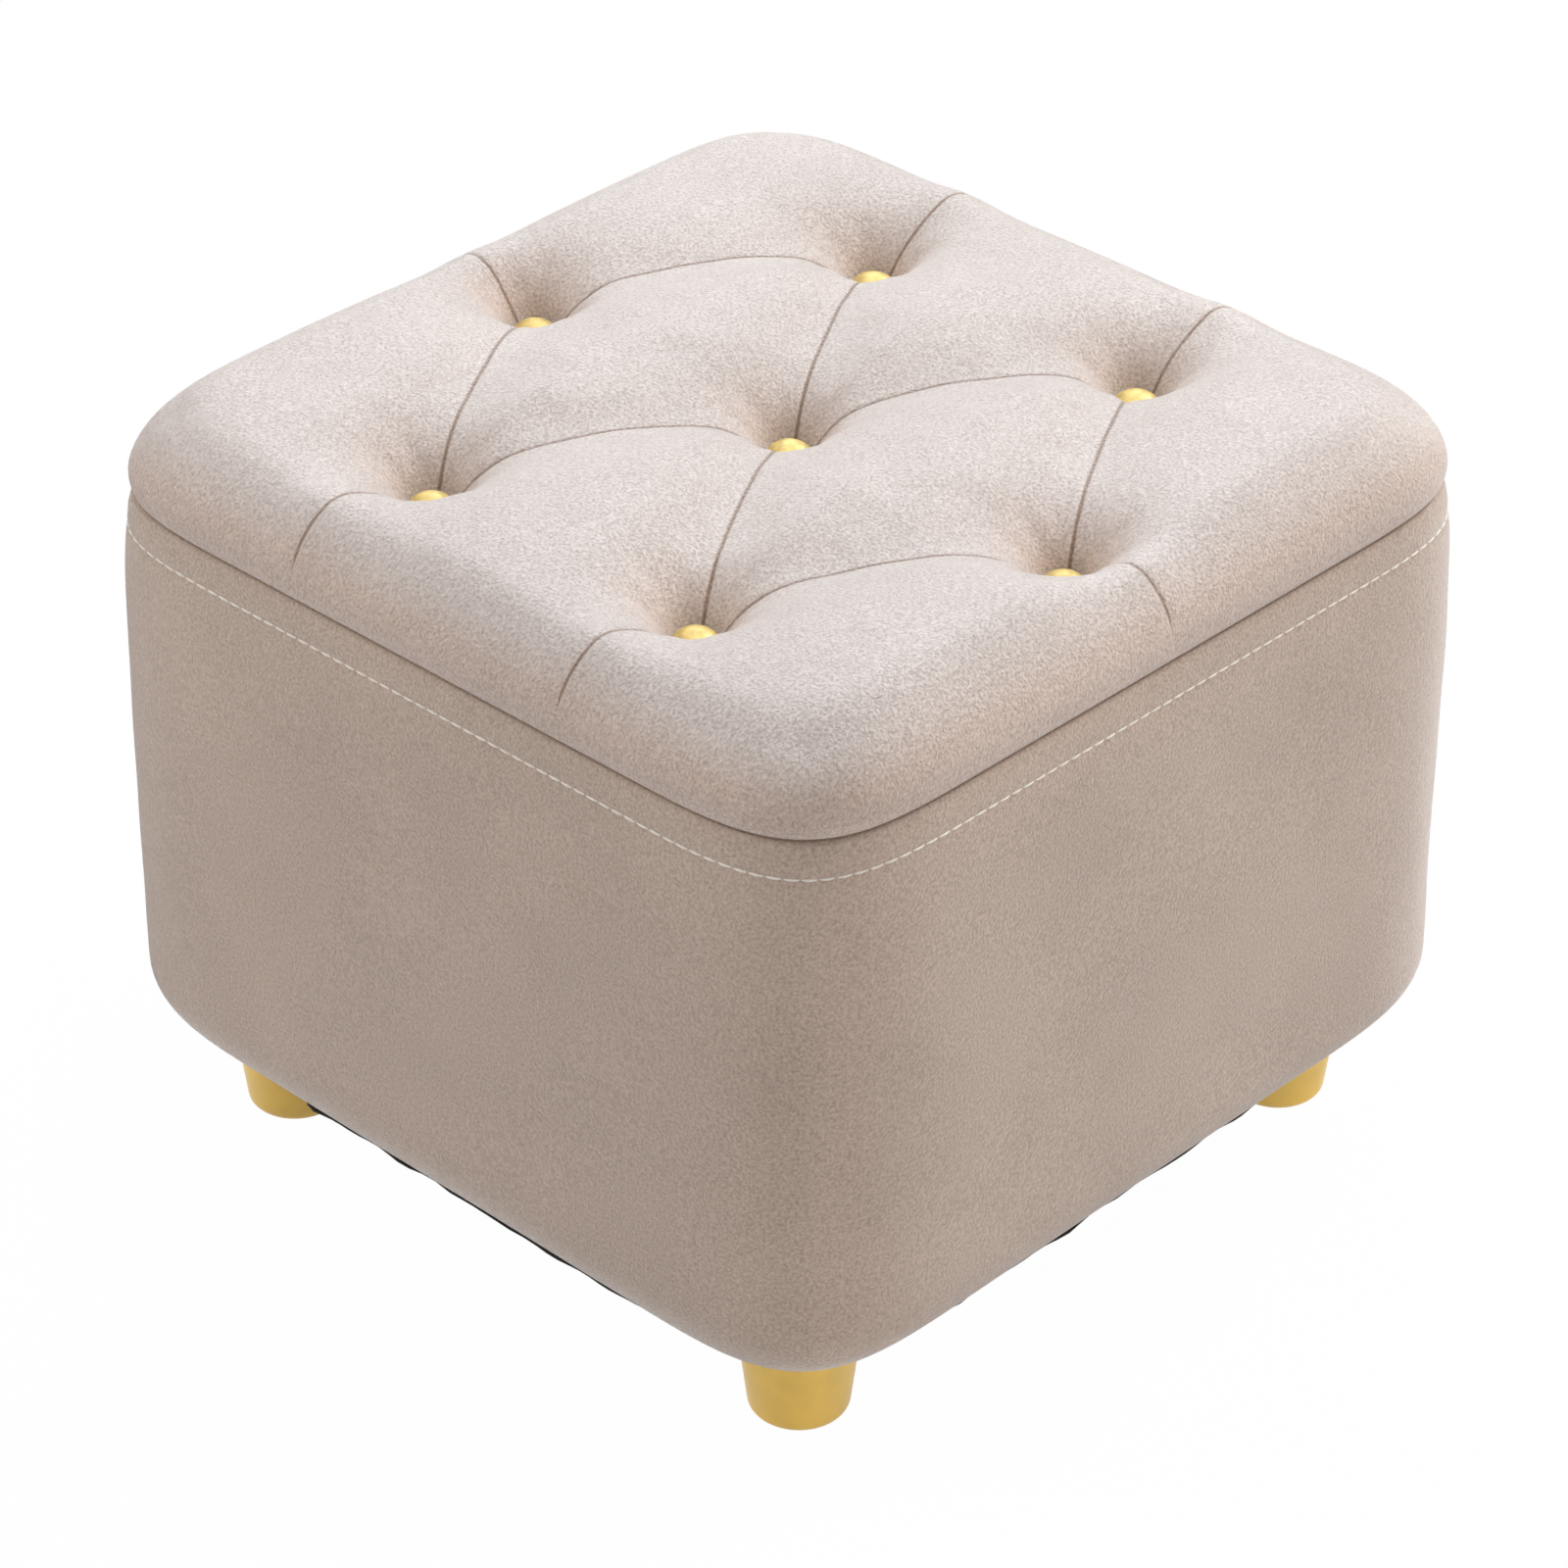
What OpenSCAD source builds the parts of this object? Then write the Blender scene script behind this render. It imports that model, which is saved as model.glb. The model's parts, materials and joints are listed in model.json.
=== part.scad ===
// Square footstool with a diamond-tufted seat, on four tapered feet.
// Origin on the floor under the middle of the stool, +Z up, front towards -Y. Sizes in millimetres.

/* [Body] */
// Width and depth at the sewn seam between the seat and the sides
body_w = 280; // [270:1:300]
// Height of that seam above the floor
seam_z = 211.6; // [205:0.2:225]
// Height of the upholstered underside above the floor
under_z = 31.5; // [29:0.5:36]
// Length of each rounded corner, measured along one side
corner_len = 70; // [62:1:76]
// Squareness of the corner curve, where 2 is a circle
corner_n = 4.1; // [3.4:0.1:4.8]
// How far the sides swell out past the seam
side_swell = 3.8; // [2:0.2:5]
// Radius of the rolled lower edge
hem_r = 23; // [20:1:25]
// Radius of the roll at the edge of the seat
edge_roll = 18; // [15:1:20]
// Height above the seam at which the edge of the seat stands upright
roll_rise = 6.9; // [5:0.1:8]

/* [Tufting] */
// Distance from the seam to the buttons of the left and right columns
button_edge_x = 51.3; // [48:0.5:56]
// Distance from the seam to the front and back buttons
button_edge_y = 38.5; // [37:0.5:42]
// Height of the dimple floors above the seam
dimple_rise = 7.7; // [5:0.2:10]
// Radius of the dimple floor under a button
dimple_r = 7.4; // [7.2:0.1:8]
// Height of the pleats above the dimple floors
pleat_rise = 15.8; // [12:0.2:18]
// Distance over which a pleat climbs out of a dimple
pleat_reach = 8; // [7:0.5:11]
// Height of the pillows above the pleats
pillow_rise = 6.5; // [4:0.5:9]
// Distance over which a pillow swells beside a pleat
pillow_reach = 13; // [10:1:16]
// Extra height of the seat at its front and back edges
front_lift = 2.6; // [0:0.2:4]
// Extra height of a pleat where it goes over the edge
ear_rise = 2.8; // [0:0.2:4]

/* [Buttons] */
// Diameter of a button
button_d = 12.4; // [11:0.2:12.4]
// Height of a button's dome
button_h = 4.2; // [3:0.2:5]
// Diameter of the shank behind the button
shank_d = 4; // [3:0.5:5]
// Length of that shank
shank_l = 5; // [4:0.5:7]
// Diameter of the tufting twine
twine_d = 1.8; // [1:0.2:2.4]
// Diameter of the washer that each twine is tied over
washer_d = 18; // [14:1:22]
// Thickness of that washer
washer_t = 1.5; // [1:0.5:3]
// Diameter of the knot in each twine
knot_d = 5; // [4:0.5:7]

/* [Upholstery] */
// Thickness of the suede cloth
cloth_t = 1.2; // [0.8:0.1:1.6]
// Width of cloth turned in under the base
fold_w = 22; // [16:1:28]
// Thickness of the dust cover
dust_t = 0.6; // [0.4:0.1:1]
// Distance from the lower edge's flat to the rim of the dust cover
dust_margin = 4; // [2:0.5:8]

/* [Frame] */
// Distance from the seam line in to the edge of the boards
board_inset = 18; // [16:0.5:20]
// Thickness of the seat and base boards
board_t = 12; // [9:1:15]
// Distance from the seam down to the top of the seat board
seat_board_drop = 11.6; // [9:0.2:14]
// Thickness of the four side panels
panel_t = 12; // [9:1:15]
// Thickness of the hardboard wrap
wrap_t = 2.5; // [2:0.5:4]
// Shank diameter of the frame screws
screw_d = 4; // [3:0.5:5]
// Length of the frame screws
screw_l = 40; // [30:1:50]
// Distance between the two screws at each panel's edge
screw_pitch = 90; // [70:5:110]

/* [Feet] */
// Distance from the seam line in to the middle of each foot
foot_inset = 36.5; // [34:0.5:40]
// Diameter of a foot at its top
foot_top_d = 35.6; // [32:0.2:38]
// Diameter of a foot at its bottom
foot_bottom_d = 28.6; // [26:0.2:31]
// Radius of the rounded edge at a foot's bottom
foot_edge_r = 3.5; // [2:0.5:4]
// Diameter of the threaded stud
stud_d = 8; // [6:1:8]
// Length of stud held in the foot
stud_in_foot = 18; // [12:1:22]
// Flange diameter of the tee nut
tee_flange_d = 19; // [16:1:21]
// Flange thickness of the tee nut
tee_flange_t = 1.5; // [1:0.1:2]
// Wall thickness of the tee nut's barrel
tee_wall = 1.2; // [1:0.1:1.5]
// Diameter of the soft pad under a foot
pad_d = 20; // [16:0.5:21]
// Thickness of that pad
pad_t = 2; // [1.5:0.1:3]
// How far the pad stands out of the foot
pad_out = 0.8; // [0.4:0.1:1]

/* [Hidden] */
$fn = 48;

// Gap between pieces that lie on each other, and the wider one over foam
gap = 0.3;
soft_gap = 0.6;
// Overlap of shapes that are joined, and how far a cutting shape stands out of what it cuts
eps = 0.01;
cut = 1;

// Heights, from the floor up
half_w = body_w / 2;
fold_top = under_z + cloth_t;
base_z = fold_top + gap;
base_top = base_z + board_t;
seat_board_top = seam_z - seat_board_drop;
seat_board_z = seat_board_top - board_t;
foam_z = seat_board_top + gap;
dimple_z = seam_z + dimple_rise;
roll_z = seam_z + roll_rise;
dust_z = under_z - gap - dust_t;
foot_top = dust_z - gap;

// Half widths of the nested layers
board_w = half_w - board_inset;
wrap_in = board_w + gap;
wrap_out = wrap_in + wrap_t;
foam_in = wrap_out + gap;
panel_half = board_w - corner_zone(board_w);
foot_at = half_w - foot_inset;

// Corner curve
// A corner is a superellipse of exponent corner_n, and a smaller outline is a parallel one
corner_mid = pow(0.5, 1 / corner_n);
function corner_zone(w) = corner_len - (half_w - w);
function round_off(v) = pow(1 - pow(v, corner_n), 1 / corner_n);
// Point of the outline of half width w, in the direction d from the middle
function outline_point(w, d) =
    let (a = max(abs(d.x), abs(d.y)), side = w * min(abs(d.x), abs(d.y)) / a,
         zone = corner_zone(w), start = w - zone,
         v = max(0, side - start) / zone * corner_mid,
         far = start + zone * round_off(v), near = side > start ? start + zone * v : side)
    abs(d.x) >= abs(d.y) ? [sgn(d.x) * far, sgn(d.y) * near] : [sgn(d.x) * near, sgn(d.y) * far];
function sgn(x) = x < 0 ? -1 : 1;

// Directions to the points of an outline, closer together where the corner turns
side_steps = [-0.94, -0.87, -0.78, -0.66, -0.5, 0, 0.5, 0.66, 0.78, 0.87, 0.94, 1];
quarter_turns = [[1, 0], [0, 1], [-1, 0], [0, -1]];
DIRECTIONS = [for (q = quarter_turns) for (t = side_steps) [q.x - q.y * t, q.y + q.x * t]];
function outline(w) = [for (d = DIRECTIONS) outline_point(w, d)];

// Tufting lattice
pitch_x = half_w - button_edge_x;
pitch_y = (half_w - button_edge_y) / 2;
// Steps from one button line to the next, as fractions of the pitch
near_step = 0.13;
mid_step = 0.32;
// Place of the line between the outer buttons and the crest of the edge, as a fraction of the way
brim_step = 0.43;
STEPS = [near_step, mid_step, 1 - mid_step, 1 - near_step, 1];
steps = len(STEPS);
// Rings over the edge of the seat: how far out the cloth has run, and the angle it has turned
ring_run = [0, 10, 18, 24];
ring_turn = [0, 35, 75, 90];
rings = len(ring_run);
// The first ring is the crest, a little inside the roll, and from the brink out the height is kept
crest_lead = 4;
brink_inset = 10;
ring_w = half_w - edge_roll - crest_lead;
brink_w = half_w - brink_inset;
RING_LINES = [for (run = ring_run) ring_w + run];
// Grid lines of the cloth, from the middle outwards
X_LINES = concat([0], pitch_x * STEPS, [pitch_x + (ring_w - pitch_x) * brim_step], RING_LINES);
Y_LINES = concat([0], pitch_y * STEPS, [for (s = STEPS) pitch_y * (1 + s)], RING_LINES);
nx = len(X_LINES) - 1;
ny = len(Y_LINES) - 1;
// Each button's place in grid lines, and its name
BUTTONS = [[0, 0], [0, -2 * steps], [0, 2 * steps],
    [-steps, -steps], [steps, -steps], [-steps, steps], [steps, steps]];
function line_x(i) = sgn(i) * X_LINES[abs(i)];
function line_y(j) = sgn(j) * Y_LINES[abs(j)];
function button_at(b) = [line_x(b[0]), line_y(b[1])];
BUTTON_SPOTS = [for (b = BUTTONS) button_at(b)];
// Pleats run between neighbouring buttons, and from the outer buttons over the edge
PLEATS = concat(
    [for (x = [-pitch_x, pitch_x], y = [-pitch_y, pitch_y], end = [0, 2 * y]) [[x, y], [0, end]]],
    [for (s = [-1, 1]) [[0, s * 2 * pitch_y], [0, s * body_w]]],
    [for (x = [-1, 1], y = [-1, 1]) [[x * pitch_x, y * pitch_y], [x * body_w, y * pitch_y]]]);

// Height of the seat
function off_line(p, a, b) =
    let (d = b - a, t = max(0, min(1, (p - a) * d / (d * d)))) norm(p - a - t * d);
function off_button(p) = min([for (b = BUTTON_SPOTS) norm(p - b)]);
function off_pleat(p) = min([for (s = PLEATS) off_line(p, s[0], s[1])]);
function swell(x, reach) = 1 - exp(-max(0, x) / reach);
// Powers by which the pillows fall and the lift grows towards the edge
fall_power = 4;
lift_power = 6;
// Half width of the raised pleat at the edge, its place past the crest and its length
ear_w = 12;
ear_ahead = 5;
ear_run = 14;
function bell(x) = exp(-x * x);
// Pleats climb out of the dimples, and the pillows swell between the pleats and end at the crest
function seat_height(p) =
    let (out = max(abs(p.x), abs(p.y)), aside = off_pleat(p),
         climb = swell(off_button(p) - dimple_r, pleat_reach),
         fall = 1 - pow(min(out / ring_w, 1), fall_power),
         pillow = pillow_rise * fall * swell(aside, pillow_reach),
         lift = front_lift * pow(min(abs(p.y) / ring_w, 1), lift_power),
         ear = ear_rise * bell(aside / ear_w) * bell((out - ring_w - ear_ahead) / ear_run))
    dimple_z + climb * (pleat_rise + lift + pillow + ear);

// A grid point next to a button lies on the rim of its dimple
function dimple_rim(i, j) = [for (b = BUTTONS)
    let (d = [i - b[0], j - b[1]])
    if (max(abs(d.x), abs(d.y)) == 1)
        let (way = [d.x * pitch_x, d.y * pitch_y]) button_at(b) + dimple_r * way / norm(way)];
function ring_of(i, j) = max(0, abs(i) - nx + rings, abs(j) - ny + rings);
// Point of the seat's surface at grid lines i and j, with the surface sunk by inset
function seat_point(i, j, inset) =
    let (rim = dimple_rim(i, j), ring = ring_of(i, j), p = [line_x(i), line_y(j)])
    len(rim) > 0 ? [rim[0].x, rim[0].y, dimple_z - inset]
    : ring == 0 ? [p.x, p.y, seat_height(p) - inset]
    : edge_point(ring - 1, p / max(abs(p.x), abs(p.y)), inset);
function edge_point(ring, d, inset) =
    let (turn = ring_turn[ring],
         w = ring == 0 ? ring_w : half_w - edge_roll + (edge_roll - inset) * sin(turn),
         crest = seat_height(outline_point(min(w, brink_w), d)),
         z = ring == rings - 1 ? seam_z + gap : roll_z + (crest - roll_z - inset) * cos(turn),
         p = outline_point(w, d))
    [p.x, p.y, z];
function seat_points(inset) = [for (j = [-ny:ny]) for (i = [-nx:nx]) seat_point(i, j, inset)];

// Faces of the grid, each split along the way its pleat runs
row = 2 * nx + 1;
grid_count = row * (2 * ny + 1);
function grid_index(i, j) = (j + ny) * row + i + nx;
function low(i) = i < 0 ? -i - 1 : i;
function rises(i, j) = (floor(low(j) / steps) % 2 == 0) == (sgn(i) == sgn(j));
function grid_cell(i, j) =
    let (a = grid_index(i, j), b = grid_index(i, j + 1),
         c = grid_index(i + 1, j + 1), d = grid_index(i + 1, j))
    rises(i, j) ? [[a, b, c], [a, c, d]] : [[a, b, d], [d, b, c]];
GRID_FACES = [for (j = [-ny:ny - 1]) for (i = [-nx:nx - 1]) each grid_cell(i, j)];
GRID_RIM = concat(
    [for (i = [-nx:nx - 1]) grid_index(i, -ny)], [for (j = [-ny:ny - 1]) grid_index(nx, j)],
    [for (i = [nx:-1:-nx + 1]) grid_index(i, ny)], [for (j = [ny:-1:-ny + 1]) grid_index(-nx, j)]);
function flipped(faces, shift) = [for (f = faces) [f[0] + shift, f[2] + shift, f[1] + shift]];
// Band of triangles between two loops of points, of which the first is the upper or outer one
function band(first, second) =
    [for (k = [0:len(first) - 1])
        let (n = (k + 1) % len(first))
        each [[first[k], first[n], second[n]], [first[k], second[n], second[k]]]];

// Closed skin lofted through a cycle of outlines, each given as [half width, height]
module lofted_skin(levels) {
    count = len(DIRECTIONS);
    points = [for (l = levels) for (p = outline(l[0])) [p.x, p.y, l[1]]];
    function loop(k) = [for (c = [0:count - 1]) (k % len(levels)) * count + c];
    faces = [for (k = [0:len(levels) - 1]) each band(loop(k), loop(k + 1))];
    polyhedron(points, faces, convexity = 6);
}
// Levels of the side: drop below the seam, and share of the swell that the side has there
SIDE_LEVELS = [[6, 0.38], [11, 0.42], [24, 0.77], [55, 0.97], [110, 1]];
wall_turns = [0, 30, 60, 90];
// Side of the body from its top down round the lower edge, sunk by inset
function wall_levels(top, inset) = concat(
    [[half_w - inset, top]],
    [for (s = SIDE_LEVELS)
        if (seam_z - s[0] < top) [half_w + side_swell * s[1] - inset, seam_z - s[0]]],
    [for (turn = wall_turns)
        [half_w + side_swell - hem_r + (hem_r - inset) * cos(turn),
         under_z + hem_r - (hem_r - inset) * sin(turn)]]);
flat_w = half_w + side_swell - hem_r;
function reversed(list) = [for (k = [len(list) - 1:-1:0]) list[k]];

module board(w, z, t) {
    translate([0, 0, z])
        linear_extrude(t) polygon(outline(w));
}
module at_feet() {
    for (x = [-foot_at, foot_at], y = [-foot_at, foot_at])
        translate([x, y, 0]) children();
}
module at_buttons() {
    for (p = BUTTON_SPOTS)
        translate([p.x, p.y, 0]) children();
}
// Places of the frame screws: two over the edge of each panel
module at_screws() {
    for (turn = [0:90:270], s = [-1, 1])
        rotate(turn) translate([board_w - panel_t / 2, s * screw_pitch / 2, 0]) children();
}

// Seat cover: tufted cloth, down to the seam
module seat_cover() {
    color("#dccfc6") difference() {
        polyhedron(concat(seat_points(0), seat_points(cloth_t)),
            concat(GRID_FACES, flipped(GRID_FACES, grid_count),
                band(GRID_RIM, [for (v = GRID_RIM) v + grid_count])), convexity = 8);
        shank_holes();
    }
}
module shank_holes() {
    at_buttons() translate([0, 0, foam_z - cut])
        cylinder(d = shank_d + 2 * gap, h = dimple_z - foam_z + 2 * cut);
}

// Foam pad under the seat cover, on the seat board
module seat_foam() {
    inset = cloth_t + soft_gap;
    top = seat_points(inset);
    count = len(GRID_RIM);
    wall = [for (v = GRID_RIM) [top[v].x, top[v].y, foam_z]];
    foot_loop = [for (k = [0:count - 1]) grid_count + k];
    middle = grid_count + count;
    floor_faces = [for (k = [0:count - 1]) [middle, foot_loop[k], foot_loop[(k + 1) % count]]];
    color("#f2e7c9") difference() {
        polyhedron(concat(top, wall, [[0, 0, foam_z]]),
            concat(GRID_FACES, band(GRID_RIM, foot_loop), floor_faces), convexity = 8);
        shank_holes();
    }
}

// Side cover: cloth band from the seam down, rolled in and turned under the base
module side_cover() {
    fold_in = flat_w - fold_w;
    outer = concat(wall_levels(seam_z - gap, 0), [[fold_in, under_z]]);
    inner = concat(wall_levels(seam_z - gap, cloth_t), [[fold_in, fold_top]]);
    color("#c9b9ac") difference() {
        lofted_skin(concat(outer, reversed(inner)));
        at_feet() translate([0, 0, under_z - cut])
            cylinder(d = stud_d + 2 * gap, h = cloth_t + 2 * cut);
    }
}

// Foam sheet round the wrap, which ends beside the edge of the base board
module side_foam() {
    inset = cloth_t + soft_gap;
    outer = wall_levels(seat_board_top, inset);
    foot_z = outer[len(outer) - 2][1];
    // The last level would run under the board, so the sheet ends one before it
    kept = [for (k = [0:len(outer) - 2]) outer[k]];
    color("#f2e7c9") lofted_skin(concat(kept, [[foam_in, foot_z], [foam_in, seat_board_top]]));
}

// Bent hardboard round the panels and the boards, which starts above the foot of the base board
wrap_lift = 3;
module wall_wrap() {
    wrap_z = base_z + wrap_lift;
    color("#8a6a4a") difference() {
        board(wrap_out, wrap_z, seat_board_top - wrap_z);
        board(wrap_in, wrap_z - cut, seat_board_top - wrap_z + 2 * cut);
    }
}

// Seat board, with a hole for each twine
module seat_board() {
    color("#d8b98a") difference() {
        board(board_w, seat_board_z, board_t);
        at_buttons() translate([0, 0, seat_board_z - cut])
            cylinder(d = twine_d + 4 * gap, h = board_t + 2 * cut);
        at_screws() translate([0, 0, seat_board_top]) mirror([0, 0, 1]) screw(gap);
    }
}

// Base board, with a hole for each tee nut
module base_board() {
    color("#d8b98a") difference() {
        board(board_w, base_z, board_t);
        at_feet() translate([0, 0, base_z - cut])
            cylinder(d = stud_d + 2 * (tee_wall + 2 * gap), h = board_t + 2 * cut);
        at_screws() translate([0, 0, base_z]) screw(gap);
    }
}

// Side panel between the boards, at the side that turn gives
module panel(turn) {
    long = 2 * panel_half;
    tall = seat_board_z - base_top - 2 * gap;
    color("#e2c79b") difference() {
        rotate(turn) translate([board_w - panel_t, -long / 2, base_top + gap])
            cube([panel_t, long, tall]);
        at_screws() translate([0, 0, base_z]) screw(gap / 2);
        at_screws() translate([0, 0, seat_board_top]) mirror([0, 0, 1]) screw(gap / 2);
    }
}

// Countersunk screw with its head down at z = 0, made larger all round by a clearance
module screw(clearance) {
    r = screw_d / 2 + clearance;
    head_r = screw_d + clearance;
    out = clearance > 0 ? cut : 0;
    translate([0, 0, -out]) cylinder(r = r, h = out + screw_l + clearance);
    cylinder(r1 = head_r, r2 = r, h = head_r - r);
}
module frame_screws() {
    color("#b8b8b4") {
        at_screws() translate([0, 0, base_z]) screw(0);
        at_screws() translate([0, 0, seat_board_top]) mirror([0, 0, 1]) screw(0);
    }
}

// Button: a low dome with a rolled edge, on a shank that goes down through the cloth
button_z = dimple_z + gap / 3;
module button(number) {
    edge_h = 1;
    dome_h = button_h - edge_h;
    dome_r = (pow(button_d / 2, 2) + dome_h * dome_h) / (2 * dome_h);
    color("#d9b45e") translate([BUTTON_SPOTS[number].x, BUTTON_SPOTS[number].y, button_z]) {
        cylinder(d = button_d, h = edge_h);
        translate([0, 0, edge_h]) intersection() {
            translate([0, 0, dome_h - dome_r]) sphere(dome_r, $fn = 64);
            cylinder(d = button_d, h = dome_h + 1);
        }
        translate([0, 0, -shank_l]) cylinder(d = shank_d, h = shank_l + eps);
    }
}

// Twine from each button's shank to its knot under the washer
module tufting_twines() {
    twine_top = button_z - shank_l;
    knot_z = seat_board_z - gap - washer_t - gap - knot_d / 2;
    color("#efe9dc") at_buttons() {
        translate([0, 0, knot_z]) cylinder(d = twine_d, h = twine_top - knot_z);
        translate([0, 0, knot_z]) sphere(d = knot_d);
    }
}
module twine_washers() {
    color("#b8b8b4") at_buttons() translate([0, 0, seat_board_z - gap - washer_t])
        difference() {
            cylinder(d = washer_d, h = washer_t);
            translate([0, 0, -cut]) cylinder(d = twine_d + 2 * gap, h = washer_t + 2 * cut);
        }
}

// Foot: a tapered round with a rounded lower edge, bored for its stud and recessed for its pad
module foot(x, y) {
    slope = (foot_top_d - foot_bottom_d) / 2 / (foot_top - pad_out);
    lean = atan(slope);
    edge_turns = [for (part = [0:6]) -90 + (90 - lean) * part / 6];
    edge_at = [foot_bottom_d / 2 - foot_edge_r, pad_out + foot_edge_r];
    edge = [for (turn = edge_turns) edge_at + foot_edge_r * [cos(turn), sin(turn)]];
    color("#cfa750") translate([x * foot_at, y * foot_at, 0]) difference() {
        rotate_extrude($fn = 72)
            polygon(concat([[0, pad_out]], edge, [[foot_top_d / 2, foot_top], [0, foot_top]]));
        translate([0, 0, foot_top - stud_in_foot - gap])
            cylinder(d = stud_d + gap, h = stud_in_foot + gap + cut);
        translate([0, 0, pad_out - cut])
            cylinder(d = pad_d + 2 * gap, h = pad_t - pad_out + cut);
    }
}

// Threaded studs, shown plain, from the feet up through the tee nuts and a little out of them
stud_proud = 3;
module foot_studs() {
    stud_z = foot_top - stud_in_foot;
    stud_top = base_top + tee_flange_t + stud_proud;
    color("#b8b8b4") at_feet() translate([0, 0, stud_z])
        cylinder(d = stud_d, h = stud_top - stud_z);
}
// Tee nuts, whose barrels end above the foot of the base board
barrel_lift = 3;
module tee_nuts() {
    barrel_z = base_z + barrel_lift;
    color("#c7c7c2") at_feet() difference() {
        union() {
            translate([0, 0, barrel_z])
                cylinder(d = stud_d + 2 * (tee_wall + gap), h = base_top - barrel_z + eps);
            translate([0, 0, base_top]) cylinder(d = tee_flange_d, h = tee_flange_t);
        }
        translate([0, 0, barrel_z - cut])
            cylinder(d = stud_d + gap, h = base_top + tee_flange_t - barrel_z + 2 * cut);
    }
}
module glide_pads() {
    color("#4a4643") at_feet() cylinder(d = pad_d, h = pad_t);
}

// Dust cover: thin cloth over the underside, pierced by the studs
module dust_cover() {
    color("#262423") difference() {
        board(flat_w - dust_margin, dust_z, dust_t);
        at_feet() translate([0, 0, dust_z - cut])
            cylinder(d = stud_d + 2 * gap, h = dust_t + 2 * cut);
    }
}

seat_cover();
side_cover();
seat_foam();
side_foam();
seat_board();
base_board();
panel(270);  // panel_front
panel(90);  // panel_back
panel(180);  // panel_left
panel(0);  // panel_right
wall_wrap();
button(0);  // button_centre
button(1);  // button_front
button(2);  // button_back
button(3);  // button_front_left
button(4);  // button_front_right
button(5);  // button_back_left
button(6);  // button_back_right
tufting_twines();
twine_washers();
foot(-1, -1);  // foot_front_left
foot(1, -1);  // foot_front_right
foot(-1, 1);  // foot_back_left
foot(1, 1);  // foot_back_right
foot_studs();
tee_nuts();
glide_pads();
dust_cover();
frame_screws();
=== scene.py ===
"""Looks of a square footstool with a diamond-tufted seat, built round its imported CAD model.

Every size is in metres, in the frame of the model: the origin is on the floor under the middle
of the stool, +Z is up and the front is towards -Y.
"""

import json
import logging
import math
from dataclasses import dataclass
from enum import Enum

import bpy
import numpy as np
from mathutils import Matrix, Vector

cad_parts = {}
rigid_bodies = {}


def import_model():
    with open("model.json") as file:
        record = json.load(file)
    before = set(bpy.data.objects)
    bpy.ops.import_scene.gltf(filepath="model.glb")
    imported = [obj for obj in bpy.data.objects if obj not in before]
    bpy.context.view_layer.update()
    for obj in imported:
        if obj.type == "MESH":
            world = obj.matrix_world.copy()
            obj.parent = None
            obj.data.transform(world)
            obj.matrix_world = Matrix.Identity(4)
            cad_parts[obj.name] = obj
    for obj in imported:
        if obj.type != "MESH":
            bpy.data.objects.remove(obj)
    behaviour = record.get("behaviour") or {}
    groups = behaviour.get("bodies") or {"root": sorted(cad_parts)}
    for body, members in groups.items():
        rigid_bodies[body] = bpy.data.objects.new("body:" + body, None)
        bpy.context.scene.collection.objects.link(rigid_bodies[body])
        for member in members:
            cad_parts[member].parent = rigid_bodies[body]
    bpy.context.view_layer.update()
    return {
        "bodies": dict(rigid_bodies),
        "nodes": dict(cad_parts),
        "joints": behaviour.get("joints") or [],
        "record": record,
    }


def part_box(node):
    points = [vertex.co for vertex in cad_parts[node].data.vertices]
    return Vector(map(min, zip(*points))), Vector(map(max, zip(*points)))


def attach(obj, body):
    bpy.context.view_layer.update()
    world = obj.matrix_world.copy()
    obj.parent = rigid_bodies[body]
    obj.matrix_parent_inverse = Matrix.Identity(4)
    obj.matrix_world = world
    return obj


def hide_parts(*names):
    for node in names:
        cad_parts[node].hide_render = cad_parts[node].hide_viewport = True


LOG = logging.getLogger("footstool")
MM = 0.001
BODY = "root"
WHITE = (1.0, 1.0, 1.0)
GOLDEN_TURN = 2.4

# Distance to a pleat or seam, near which cloth gets painted shade: none near, and at a seam
LINE_SHADE = "line"
FAR = 10 * MM
SEAM_PALE = 0.3 * MM

# Thickness of the cloth, space between it and the foam, and a button's shank and seating
CLOTH_T = 1.2 * MM
FOAM_GAP = 0.6 * MM
SHANK_L = 5.0 * MM
BUTTON_SINK = 0.1 * MM

Array = np.ndarray
Socket = bpy.types.NodeSocket
Screen = tuple[int, int, int]
Pair = tuple[float, float]
Triple = tuple[float, float, float]


# Meshes


def new_piece(
    name: str, points: Array, faces: Array, material: bpy.types.Material, smooth: bool = True
) -> bpy.types.Object:
    """Makes a mesh object at the origin from arrays of points and faces.

    Args:
        name: Name of the object and of its mesh.
        points: One row of x, y, z for each vertex.
        faces: One row of vertex numbers for each face, all with as many corners.
        material: Material of every face.
        smooth: Whether the faces are shaded smooth.

    Returns:
        The object, linked to the scene.
    """
    corners = faces.shape[1]
    mesh = bpy.data.meshes.new(name)
    mesh.vertices.add(len(points))
    mesh.vertices.foreach_set("co", np.ascontiguousarray(points, np.float32).ravel())
    mesh.loops.add(faces.size)
    mesh.loops.foreach_set("vertex_index", np.ascontiguousarray(faces, np.int32).ravel())
    mesh.polygons.add(len(faces))
    mesh.polygons.foreach_set("loop_start", np.arange(0, faces.size, corners, dtype=np.int32))
    mesh.polygons.foreach_set("use_smooth", np.full(len(faces), smooth))
    mesh.update(calc_edges=True)
    mesh.validate()
    mesh.materials.append(material)
    piece = bpy.data.objects.new(name, mesh)
    bpy.context.scene.collection.objects.link(piece)
    return piece


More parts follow.
